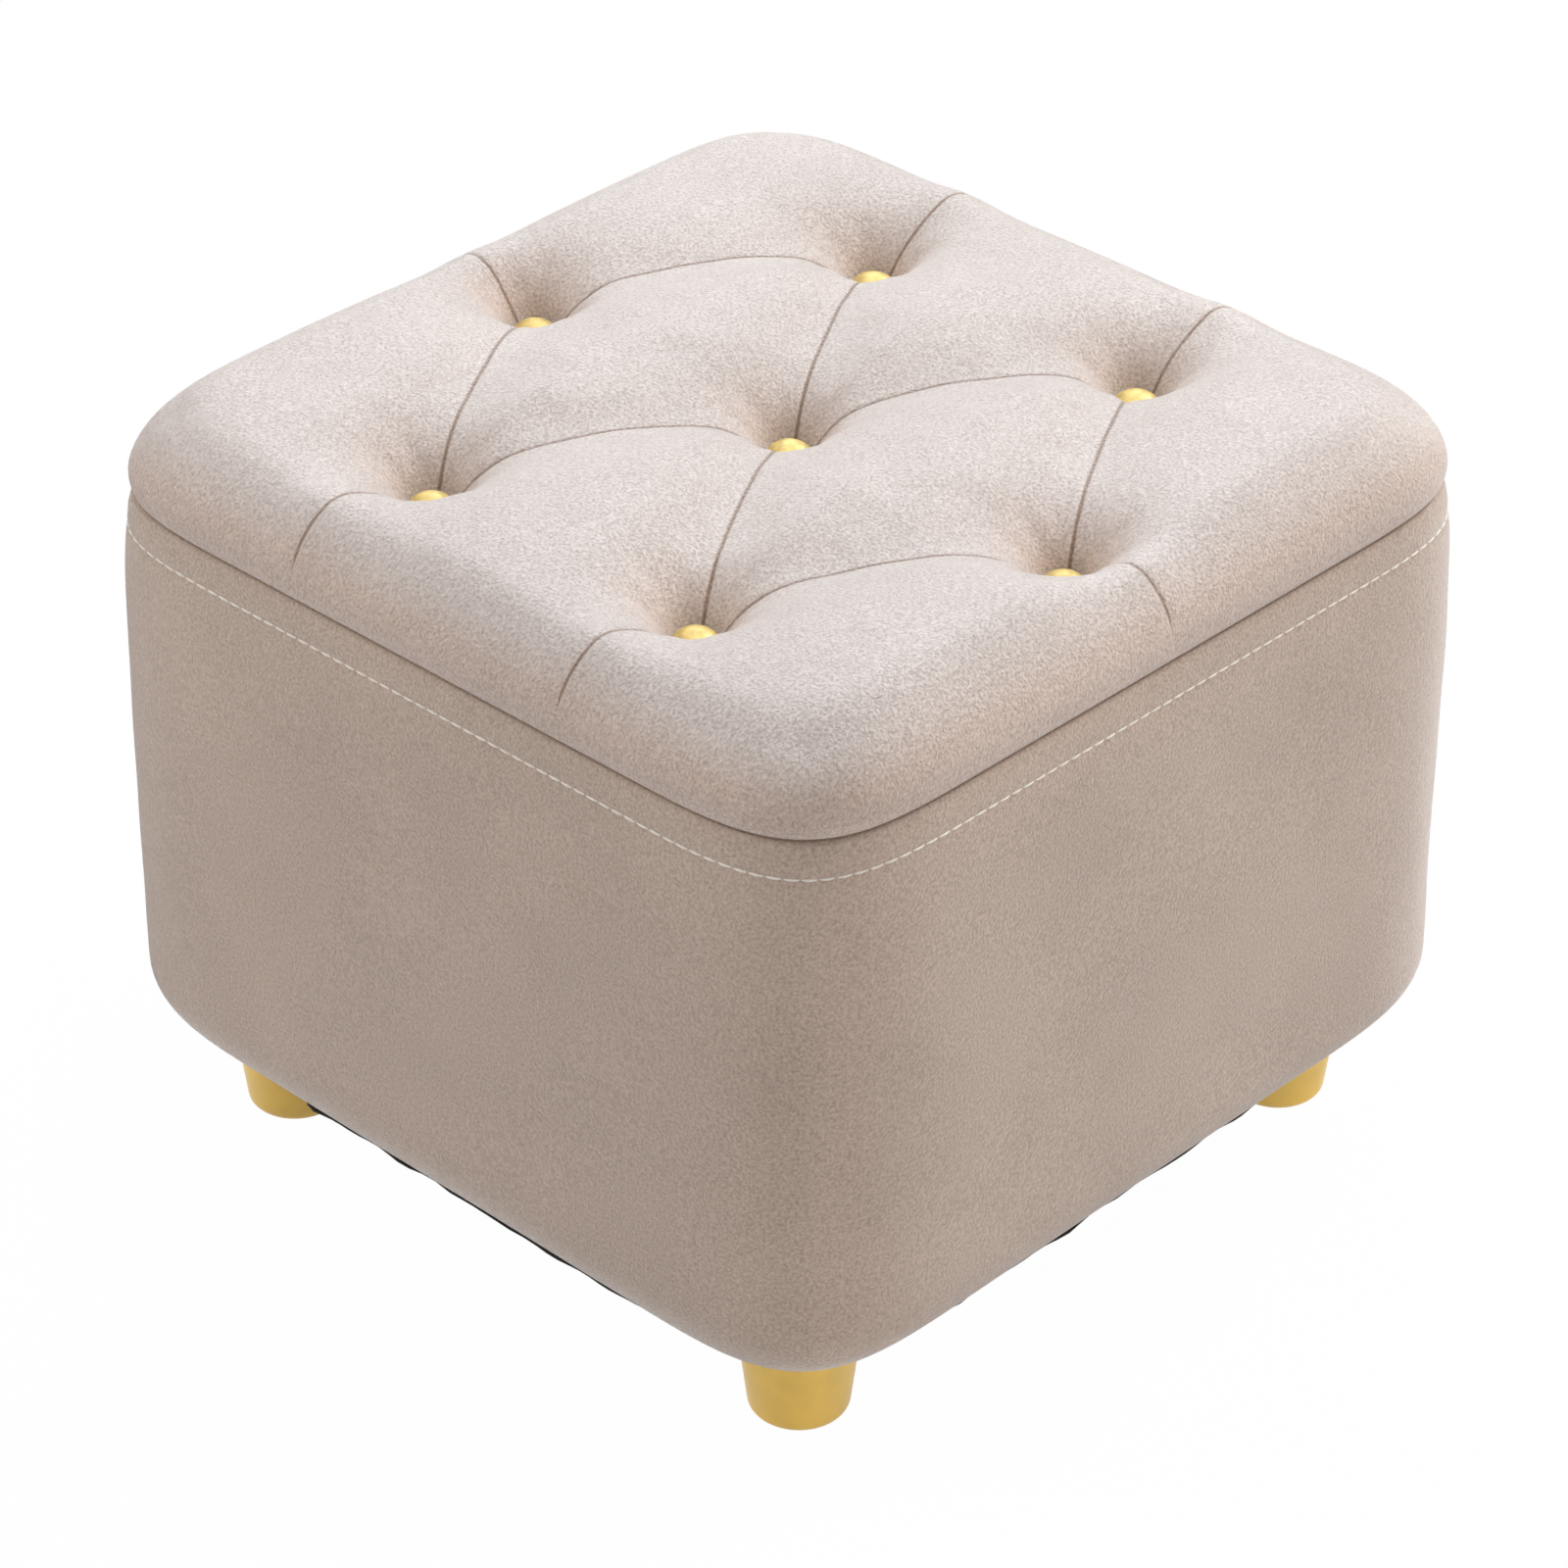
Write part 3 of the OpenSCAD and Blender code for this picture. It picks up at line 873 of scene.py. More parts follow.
@dataclass
class Seat:
    """Tufted seat: its cloth cover, the foam below and the buttons."""

    tufting: Tufting
    finishes: Finishes
    seam_z: float
    button_r: float
    roll_rise: float = 6.6 * MM
    roll_swell: float = 0.7 * MM
    swell_in: Pair = (0.2, 0.75)
    swell_out: Pair = (0.8, 1.0)
    edge_roll: float = 18 * MM
    edge_run: float = 24 * MM
    wall_share: float = 0.3
    seam_tuck: float = 0.8 * MM
    tuck_in: Pair = (0.8, 1.0)
    groove_out: Pair = (0.55, 0.9)
    line_shade_out: Pair = (0.5, 0.85)
    line_shade_fade: float = 2 * MM
    tuft_steps: int = 60
    crowding: float = 0.45
    brim_steps: tuple[int, int] = (20, 12)
    edge_steps: int = 28
    shank_r: float = 2.0 * MM
    button_edge: float = 0.9 * MM
    button_turn: float = 40
    dome_h: float = 2.5 * MM
    dome_power: float = 2.2
    names: tuple[str, ...] = (
        "button_centre",
        "button_front",
        "button_back",
        "button_front_left",
        "button_front_right",
        "button_back_left",
        "button_back_right",
    )

    def half_lines(self, pitch: float, blocks: int, brim: int, coarse: int) -> Array:
        """Lays out the grid lines of the cloth from the middle outwards.

        Between two button lines their places are t less a sine of one turn, which crowds them at
        both ends, and they are the same shares of the pitch across x and across y, so that pleats
        run along diagonals of the cells.

        Args:
            pitch: Distance between button lines.
            blocks: Number of pitches from the middle to the last button line.
            brim: Number of steps from there to the crest of the edge.
            coarse: How many fine steps one step takes.

        Returns:
            Places of the lines, where those past the crest are lengths run over the edge.
        """
        crest = self.tufting.crest_w
        t = np.linspace(0, 1, self.tuft_steps // coarse + 1)[1:]
        drawn = t - self.crowding * np.sin(2 * math.pi * t) / (2 * math.pi)
        inside = [pitch * (block + drawn) for block in range(blocks)]
        brim_lines = np.linspace(pitch * blocks, crest, brim // coarse + 1)[1:]
        over = crest + np.linspace(0, self.edge_run, self.edge_steps // coarse + 1)[1:]
        return np.concatenate([[0], *inside, brim_lines, over])

    def grid_lines(self, coarse: int) -> tuple[Array, Array]:
        """Lays out all grid lines, from one side to the other.

        Args:
            coarse: How many fine steps one step takes.

        Returns:
            Places of the lines across x, and across y.
        """
        x = self.half_lines(self.tufting.pitch_x, 1, self.brim_steps[0], coarse)
        y = self.half_lines(self.tufting.pitch_y, 2, self.brim_steps[1], coarse)
        return np.concatenate([-x[:0:-1], x]), np.concatenate([-y[:0:-1], y])

    def placed(self, u: Array, v: Array, w: Array) -> Array:
        """Moves points of the square grid to the plan's outlines of other half widths.

        A point's larger distance from the middle becomes the half width. Its smaller one changes
        by as much, times its share of the way into the corner, before the plan rounds it.

        Args:
            u: x of the points.
            v: y of the points.
            w: Half width of the outline that each comes to lie on.

        Returns:
            Points in x and y.
        """
        reach = np.maximum(np.abs(u), np.abs(v))
        side = np.minimum(np.abs(u), np.abs(v))
        hold = self.tufting.plan.straight
        along = side + (w - reach) * np.clip((side - hold) / np.maximum(reach - hold, MM), 0, 1)
        wide = np.abs(u) >= np.abs(v)
        x = np.sign(u) * np.where(wide, w, along)
        y = np.sign(v) * np.where(wide, along, w)
        return np.stack(self.tufting.plan.place(w, x, y), axis=-1)

    def surface(self, coarse: int, inset: float) -> tuple[Array, Array]:
        """Works out the cloth's surface on the grid.

        Inside the crest a point is its grid place, at the height of the tufting. Beyond it, the
        run over the edge turns a quarter of an ellipse, then goes down and tucks in at the seam,
        above which an ease up and one down swell it out a little. The creases push the surface in
        along the pleats, square to the turned cloth.

        Args:
            coarse: How many fine steps one grid step takes.
            inset: Depth of this surface below the outer one.

        Returns:
            Points, indexed by row, column and axis, and their distances from pleats and seam, for
            painted shade.
        """
        tuft, half_w = self.tufting, self.tufting.plan.half_w
        u, v = np.meshgrid(*self.grid_lines(coarse))
        reach = np.maximum(np.abs(u), np.abs(v))
        run = np.clip((reach - tuft.crest_w) / self.edge_run, 0, 1)
        turn = np.clip(run / (1 - self.wall_share), 0, 1) * math.pi / 2
        down = np.clip(1 - (1 - run) / self.wall_share, 0, 1)
        lead = half_w - self.edge_roll - tuft.crest_w
        over = tuft.crest_w + lead * turn / (math.pi / 2) + (self.edge_roll - inset) * np.sin(turn)
        over += self.roll_swell * ease(run, *self.swell_in) * (1 - ease(run, *self.swell_out))
        ring = np.where(run > 0, over, reach)
        crest = self.placed(u, v, np.minimum(ring, tuft.brink_w))
        roll_z = self.seam_z + self.roll_rise
        z = roll_z + (tuft.height(crest) - roll_z - inset) * np.cos(turn) - down * self.roll_rise
        groove = tuft.groove(crest) * (1 - ease(run, *self.groove_out))
        tuck = self.seam_tuck * ease(down, *self.tuck_in) ** 2
        drawn = (tuck + groove * np.sin(turn)) / np.maximum(reach, MM)
        flat = self.placed(u, v, ring) * (1 - drawn[..., None])
        points = np.concatenate([flat, (z - groove * np.cos(turn))[..., None]], axis=-1)
        # Distances for the painted shade at the seam and along the pleats, which fades over the
        # edge
        off_seam = np.where(down > 0, (1 - down) * self.roll_rise + SEAM_PALE, FAR)
        off_pleat = tuft.off_pleat(crest) + self.line_shade_fade * ease(run, *self.line_shade_out)
        return points, np.minimum(off_pleat, off_seam)

    def cell_faces(self, coarse: int) -> Array:
        """Splits the grid's cells into triangles along the way their pleat runs.

        Args:
            coarse: How many fine steps one grid step takes.

        Returns:
            Triangles, counterclockwise seen from above.
        """
        lines_x, lines_y = self.grid_lines(coarse)
        rows, columns = len(lines_y), len(lines_x)
        quads = band_faces(rows, columns, False, False).reshape(rows - 1, columns - 1, 4)
        a, b, c, d = (quads[..., k] for k in range(4))
        middle_x = (lines_x[:-1] + lines_x[1:])[None, :] / 2
        middle_y = (lines_y[:-1] + lines_y[1:])[:, None] / 2
        odd = np.floor(np.abs(middle_y) / self.tufting.pitch_y) % 2 == 0
        up = (odd == ((middle_x > 0) == (middle_y > 0)))[..., None]
        first = np.where(up, np.stack([a, b, c], -1), np.stack([a, b, d], -1))
        second = np.where(up, np.stack([a, c, d], -1), np.stack([b, c, d], -1))
        return np.concatenate([first.reshape(-1, 3), second.reshape(-1, 3)])

    def layer(self, coarse: int, inset: float) -> tuple[Array, Array, Array, Array]:
        """Works out one surface of the cloth with its faces and its rim.

        Args:
            coarse: How many fine steps one grid step takes.
            inset: Depth of this surface below the outer one.

        Returns:
            Points, triangles, the rim's vertex numbers counterclockwise from above, and the
            points' distances from the pleats and the seam, for the painted shade.
        """
        grid, line = self.surface(coarse, inset)
        rows, columns = grid.shape[:2]
        number = np.arange(rows * columns).reshape(rows, columns)
        rim = np.concatenate([number[0, :-1], number[:-1, -1], number[-1, :0:-1], number[:0:-1, 0]])
        return grid.reshape(-1, 3), self.cell_faces(coarse), rim, line.ravel()

    def build_cover(self) -> bpy.types.Object:
        """Makes the cover as a closed skin, with an inner surface of half as many lines.

        Returns:
            The cover.
        """
        outer, outer_faces, rim, line = self.layer(1, 0.0)
        inner, inner_faces, inner_rim, _ = self.layer(2, CLOTH_T)
        start, middle, end = rim[::2], rim[1::2], np.roll(rim[::2], -1)
        first = inner_rim + len(outer)
        second = np.roll(first, -1)
        hem = stack_faces((start, first, middle), (middle, first, second), (middle, second, end))
        faces = np.concatenate([outer_faces, inner_faces[:, ::-1] + len(outer), hem])
        points = np.concatenate([outer, inner])
        material = self.finishes.material("suede_top")
        cover = new_piece("tufted_seat_cover", points, faces, material)
        set_line_shade(cover, np.concatenate([line, np.full(len(inner), FAR)]))
        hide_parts("seat_cover")
        return cover

    def build_foam(self) -> bpy.types.Object:
        """Makes the foam pad: the cloth's inner surface, a wall and a flat underside.

        Returns:
            The foam pad.
        """
        low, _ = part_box("seat_foam")
        top, faces, rim, _ = self.layer(2, CLOTH_T + FOAM_GAP)
        wall = top[rim] * [1, 1, 0] + [0, 0, low.z]
        foot = len(top) + np.arange(len(rim))
        middle = np.full(len(rim), len(top) + len(rim))
        beside, rim_beside = np.roll(foot, -1), np.roll(rim, -1)
        sides = stack_faces((rim, foot, beside), (rim, beside, rim_beside), (middle, beside, foot))
        points = np.concatenate([top, wall, [[0, 0, low.z]]])
        faces = np.concatenate([faces, sides])
        foam = new_piece("seat_foam_pad", points, faces, self.finishes.material("foam"))
        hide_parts("seat_foam")
        return foam

    def button_profile(self) -> Array:
        """Draws a button: the shank, the back, the rolled edge and the dome.

        The dome's height falls by the distance from the axis, over the cap's radius, to a power.

        Returns:
            Rows of radius and height.
        """
        edge, turn = self.button_edge, math.radians(self.button_turn)
        across = np.linspace(1, 0, 14)
        cap_r = self.button_r - edge + edge * math.cos(turn)
        cap_z = edge + edge * math.sin(turn) + self.dome_h * (1 - across**self.dome_power)
        back = [[0, -SHANK_L], [self.shank_r, -SHANK_L], [self.shank_r, 0]]
        rolled = arc((self.button_r - edge, edge), edge, -90, self.button_turn, 8)
        return np.concatenate([back, rolled, np.stack([cap_r * across, cap_z], axis=-1)[1:]])

    def build_buttons(self) -> list[bpy.types.Object]:
        """Makes the buttons, each in its dimple.

        Returns:
            The buttons.
        """
        made = []
        for name in self.names:
            low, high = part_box(name)
            profile = self.button_profile() + [0, low.z + SHANK_L]
            surface = lathe(profile, 48, ((low.x + high.x) / 2, (low.y + high.y) / 2))
            button = new_piece(f"gold_{name}", *surface, self.finishes.material("gold_button"))
            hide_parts(name)
            made.append(button)
        return made

    def build(self) -> list[bpy.types.Object]:
        """Makes every piece of the seat."""
        return [self.build_cover(), self.build_foam(), *self.build_buttons()]


@dataclass
class Sides:
    """Cloth band round the stool, the foam under it and the topstitch."""

    plan: Plan
    finishes: Finishes
    seam_z: float
    under_z: float
    seam_gap: float = 0.2 * MM
    seam_tuck: float = 0.8 * MM
    tuck_drop: float = 1.3 * MM
    swell: float = 3.8 * MM
    swell_reach: float = 16 * MM
    lip: float = 0.2 * MM
    lip_drop: float = 5 * MM
    lip_w: float = 3 * MM
    lip_rows: float = 3 * MM
    channel: float = 0.3 * MM
    channel_w: float = 1.3 * MM
    channel_rows: Pair = (3.8 * MM, 18 * MM)
    plain_rows: float = 22 * MM
    hem_r: float = 23 * MM
    hem_start: float = -4
    fold_w: float = 22 * MM
    waves: tuple[Triple, ...] = ((0.35 * MM, 95 * MM, 1.3), (0.12 * MM, 31 * MM, 4.1))
    calm_seam: Pair = (6 * MM, 30 * MM)
    calm_hem: Pair = (2 * MM, 20 * MM)
    foam_least: float = 2 * MM
    wrap_gap: float = 0.3 * MM
    stitch_drop: float = 10.4 * MM
    stitch_pitch: float = 4.6 * MM
    stitch_len: float = 4.2 * MM
    stitch_r: float = 0.35 * MM
    stitch_thin: float = 0.45
    stitch_sink: float = 0.35
    steps: int = 84
    foam_steps: int = 40
    stitch_steps: int = 400

    @property
    def wall_w(self) -> float:
        """Half width of the body where the sides stand fullest."""
        return self.plan.half_w + self.swell

    def wall_width(self, z: Array) -> Array:
        """Gives the half width of the side at a height, from the lower edge up to the seam.

        The side swells out below the seam by one less an exponential, with a slight lip there,
        and a shallow channel follows the line of stitches.

        Args:
            z: Heights.

        Returns:
            Half widths.
        """
        drop = self.seam_z - z
        full = rise(drop, self.swell_reach) * self.swell
        lip = self.lip * bell((drop - self.lip_drop) / self.lip_w)
        channel = self.channel * bell((drop - self.stitch_drop) / self.channel_w)
        return self.plan.half_w + full + lip - channel

    def profile(self, inset: float, fine: bool) -> Array:
        """Gives the side's profile from the seam down, round the lower edge and under the base.

        Its rows stand closest at the lip and at the channel.

        Args:
            inset: Depth of this surface below the outer one.
            fine: Whether the profile has the steps that the cloth needs.

        Returns:
            Rows of half width and height.
        """
        channel_steps, wall_steps, hem_steps = (24, 44, 22) if fine else (6, 10, 8)
        top, hem_top = self.seam_z - self.seam_gap, self.under_z + self.hem_r
        lip_z = top - self.lip_rows * np.linspace(0, 1, 8) ** 1.5
        channel_z = top - np.linspace(*self.channel_rows, channel_steps)
        wall_z = np.linspace(top - self.plain_rows, hem_top, wall_steps)
        z = np.concatenate([lip_z, channel_z, wall_z])
        tuck = self.seam_tuck * (1 - ease(top - z, 0, self.tuck_drop)) ** 2
        wall = np.stack([self.wall_width(z) - inset - tuck, z], axis=-1)
        centre = (self.wall_w - self.hem_r, hem_top)
        hem = arc(centre, self.hem_r - inset, self.hem_start, -90, hem_steps)
        fold = np.array([[centre[0] - self.fold_w, self.under_z + inset]])
        return np.concatenate([wall, hem, (hem[-1:] + fold) / 2, fold])

    def skin(self, profile: Array, steps: int) -> tuple[Array, Array]:
        """Lofts a closed profile round the plan.

        Args:
            profile: Rows of half width and height, down the outside and up the inside.
            steps: Number of points along each side of the plan.

        Returns:
            Points by row, step and axis, and quads.
        """
        x, y = self.plan.loop(profile[:, :1], steps)
        z = np.broadcast_to(profile[:, 1:], x.shape)
        return np.stack([x, y, z], axis=-1), band_faces(*x.shape, True, True)[:, ::-1]

    def build_cover(self) -> bpy.types.Object:
        """Makes the cloth band, with soft waves where it is drawn over the foam.

        Long and short waves push it in and out, and eases calm them at the seam and the hem.

        Returns:
            The band.
        """
        outer, inner = self.profile(0.0, True), self.profile(CLOTH_T, True)
        points, faces = self.skin(np.concatenate([outer, inner[::-1]]), self.steps)
        waves = ripples(points, *self.waves)
        waves *= ease(self.seam_z - points[..., 2], *self.calm_seam)
        waves *= ease(points[..., 2] - self.under_z, *self.calm_hem)
        out = points[..., :2] / np.linalg.norm(points[..., :2], axis=-1, keepdims=True)
        points[..., :2] += out * waves[..., None]
        material = self.finishes.material("suede_side")
        cover = new_piece("side_cover_band", points.reshape(-1, 3), faces, material)
        # Distances for the painted shade at the seam
        off_seam = outer[0, 1] - outer[:, 1] + SEAM_PALE
        off_seam = np.concatenate([off_seam, np.full(len(inner), FAR)])
        set_line_shade(cover, np.repeat(off_seam, points.shape[1]))
        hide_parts("side_cover")
        return cover

    def build_foam(self) -> bpy.types.Object:
        """Makes the foam sheet between the cloth and the wrap.

        Returns:
            The foam sheet.
        """
        low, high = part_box("side_foam")
        _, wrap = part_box("wall_wrap")
        outer = self.profile(CLOTH_T + FOAM_GAP, False)
        outer = outer[(outer[:, 1] < high.z) & (outer[:, 1] > low.z)]
        outer = outer[outer[:, 0] > wrap.x + self.foam_least]
        inner_w = wrap.x + self.wrap_gap
        ends = [[inner_w, outer[-1, 1]], [inner_w, high.z], [outer[0, 0], high.z]]
        points, faces = self.skin(np.concatenate([outer, ends]), self.foam_steps)
        material = self.finishes.material("foam")
        foam = new_piece("side_foam_sheet", points.reshape(-1, 3), faces, material)
        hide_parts("side_foam")
        return foam

    def build_topstitch(self) -> bpy.types.Object:
        """Makes the row of stitches below the seam, each a short thread that dips at its ends.

        A stitch's point is its place along the outline plus the thread's radius times its
        angle's direction, where the radius shrinks and the thread sinks towards both ends, by
        half a sine wave. A thread has six sides, and two quads close each of its ends.

        Returns:
            The stitches as one piece.
        """
        z = self.seam_z - self.stitch_drop
        x, y = self.plan.loop(self.wall_width(np.array([[z]])), self.stitch_steps)
        line = np.stack([x[0], y[0]], axis=-1)
        line = np.concatenate([line, line[:1]])
        length = np.concatenate([[0], np.cumsum(np.linalg.norm(np.diff(line, axis=0), axis=1))])

        def on_line(place: Array) -> Array:
            """Gives the points of the outline at lengths along it."""
            place = place % length[-1]
            return np.stack([np.interp(place, length, line[:, k]) for k in (0, 1)], axis=-1)

        count = int(round(length[-1] / self.stitch_pitch))
        along = np.linspace(0, 1, 7)
        place = np.arange(count)[:, None] * length[-1] / count + along * self.stitch_len
        path = on_line(place)
        way = on_line(place + MM) - path
        way /= np.linalg.norm(way, axis=-1, keepdims=True)
        out = np.stack([way[..., 1], -way[..., 0]], axis=-1)
        hump = np.sin(math.pi * along)[:, None]
        thick = self.stitch_r * (self.stitch_thin + (1 - self.stitch_thin) * hump**0.5)
        middle = self.stitch_r * ((1 - self.stitch_thin) * hump - self.stitch_sink)
        angle = np.linspace(0, 2 * math.pi, 6, endpoint=False)
        lift = middle + thick * np.cos(angle)
        flat = path[:, :, None] + out[:, :, None] * lift[None, :, :, None]
        height = np.broadcast_to(z + thick * np.sin(angle), flat.shape[:3])
        points = np.concatenate([flat, height[..., None]], axis=-1)
        rings, sides = lift.shape
        ends = np.array([[0, 1, 2, 3], [0, 3, 4, 5]])
        caps = [ends[:, ::-1], ends + (rings - 1) * sides]
        band = np.concatenate([band_faces(rings, sides, False, True), *caps])
        shift = np.arange(count)[:, None, None] * rings * sides
        quads = (band[None] + shift).reshape(-1, 4)[:, ::-1]
        material = self.finishes.material("twine")
        stitches = new_piece("topstitch", points.reshape(-1, 3), quads, material)
        return stitches

    def build(self) -> list[bpy.types.Object]:
        """Makes every piece of the sides."""
        return [self.build_cover(), self.build_foam(), self.build_topstitch()]


@dataclass
class Underside:
    """Feet and dust cover."""

    plan: Plan
    finishes: Finishes
    foot_edge: float = 3.5 * MM
    sole_r: float = 14.3 * MM
    pad_r: float = 10.3 * MM
    pad_recess: float = 1.2 * MM
    edge_out: float = 0.2 * MM
    top_edge: float = 0.8 * MM
    top_inset: float = 0.3 * MM
    top_step: float = 0.1 * MM
    ring_power: float = 0.7
    hang_out: float = 12.3 * MM
    hang: float = 2.4 * MM
    hang_half: float = 66 * MM
    hang_fade: float = 22 * MM
    hang_start: float = 0.86
    hang_wave: Triple = (0.35 * MM, 21 * MM, 2.7)
    names: tuple[str, ...] = (
        "foot_front_left",
        "foot_front_right",
        "foot_back_left",
        "foot_back_right",
    )

    def foot_profile(self, low: float, high: float, top_r: float) -> Array:
        """Draws a foot: recessed sole, rounded edge, tapered side and softened top.

        Args:
            low: Height of the sole.
            high: Height of the top.
            top_r: Radius at the top.

        Returns:
            Rows of radius and height.
        """
        r, flat_r, recess = self.foot_edge, self.sole_r - self.foot_edge, low + self.pad_recess
        lean = math.degrees(math.atan((top_r - self.sole_r) / (high - low)))
        sole = [[0, recess], [self.pad_r, recess], [self.pad_r, low], [flat_r, low]]
        edge = arc((flat_r + self.edge_out, low + r), r, -90, -lean, 12)
        side_r, side_z = top_r - self.top_inset, high - self.top_edge
        side = np.linspace(edge[-1], [side_r, side_z - self.top_step], 12)[1:]
        top = arc((side_r - self.top_edge, side_z), self.top_edge, 0, 90, 5)
        return np.concatenate([sole, edge, side, top, [[0, high]]])

    def build_feet(self) -> list[bpy.types.Object]:
        """Makes the feet.

        Returns:
            The feet.
        """
        made = []
        for name in self.names:
            low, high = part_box(name)
            profile = self.foot_profile(low.z, high.z, (high.x - low.x) / 2)
            surface = lathe(profile, 96, ((low.x + high.x) / 2, (low.y + high.y) / 2))
            foot = new_piece(f"gold_{name}", *surface, self.finishes.material("gold_foot"))
            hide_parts(name)
            made.append(foot)
        return made

    def build_dust_cover(self) -> bpy.types.Object:
        """Makes the dust cover: flat under the base, with a loose rim between the feet.

        Its lower face and its upper face are rings from the middle out, each closed by a fan.
        Between the feet the rings near the rim are pushed out and down, by waves that an ease
        over the last rings fades in.

        Returns:
            The dust cover.
        """
        low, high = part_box("dust_cover")
        w = np.linspace(0, 1, 40)[1:, None] ** self.ring_power * high.x
        x, y = self.plan.loop(w, 60)
        side = np.minimum(np.abs(x), np.abs(y))
        held = ease(side, self.hang_half, self.hang_half + self.hang_fade)
        loose = ease(w / high.x, self.hang_start, 1.0) * (1 - held)
        points = np.stack([x, y, np.zeros_like(x)], axis=-1)
        wave = ripples(points, self.hang_wave)
        push = loose * (self.hang_out + wave)
        over_x = np.abs(x) >= np.abs(y)
        points[..., 0] += np.where(over_x, np.sign(x), 0) * push
        points[..., 1] += np.where(over_x, 0, np.sign(y)) * push
        points[..., 2] = low.z - loose * (self.hang + wave)
        upper = points + [0, 0, high.z - low.z]
        poles = np.array([[0, 0, low.z], [0, 0, high.z]])
        surface = close_rings(np.concatenate([points, upper[::-1]]), poles)
        material = self.finishes.material("dust_cloth")
        cloth = new_piece("underside_dust_cover", *surface, material)
        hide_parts("dust_cover")
        return cloth

    def build(self) -> list[bpy.types.Object]:
        """Makes every piece of the underside."""
        return [*self.build_feet(), self.build_dust_cover()]


# Studio


@dataclass(frozen=True)
class Lamp:
    """Soft round white lamp that faces the stool."""

    name: str
    place: Triple
    watts: float
    width: float = 1.0
    aim_z: float = 0.15

    def hang(self) -> None:
        """Hangs the lamp."""
        data = bpy.data.lights.new(self.name, "AREA")
        data.shape, data.size, data.energy = "DISK", self.width, self.watts
        lamp = bpy.data.objects.new(self.name, data)
        lamp.location = self.place
        aim = Vector((0, 0, self.aim_z)) - Vector(self.place)
        lamp.rotation_euler = aim.to_track_quat("-Z", "Y").to_euler()
        bpy.context.scene.collection.objects.link(lamp)


def show_white(
    tree: bpy.types.NodeTree, plain: Socket, white: Socket, target: Socket, share: float
) -> None:
    """Shows white to the camera and in gloss, in place of what lights the stool.

    Args:
        tree: Node tree of the floor's material or of the world.
        plain: Output of the plain shader.
        white: Output of the white shader.
        target: Input of the tree's output node.
        share: How much of the white shows, from 0 to 1.
    """
    path = add_node(tree, "ShaderNodeLightPath")
    seen = add_node(tree, "ShaderNodeMath", operation="MAXIMUM")
    part = add_node(tree, "ShaderNodeMath", operation="MULTIPLY")
    part.inputs[1].default_value = share
    mix = add_node(tree, "ShaderNodeMixShader")
    tree.links.new(path.outputs["Is Camera Ray"], seen.inputs[0])
    tree.links.new(path.outputs["Is Glossy Ray"], seen.inputs[1])
    tree.links.new(seen.outputs["Value"], part.inputs[0])
    tree.links.new(part.outputs["Value"], mix.inputs["Fac"])
    tree.links.new(plain, mix.inputs[1])
    tree.links.new(white, mix.inputs[2])
    tree.links.new(mix.outputs["Shader"], target)


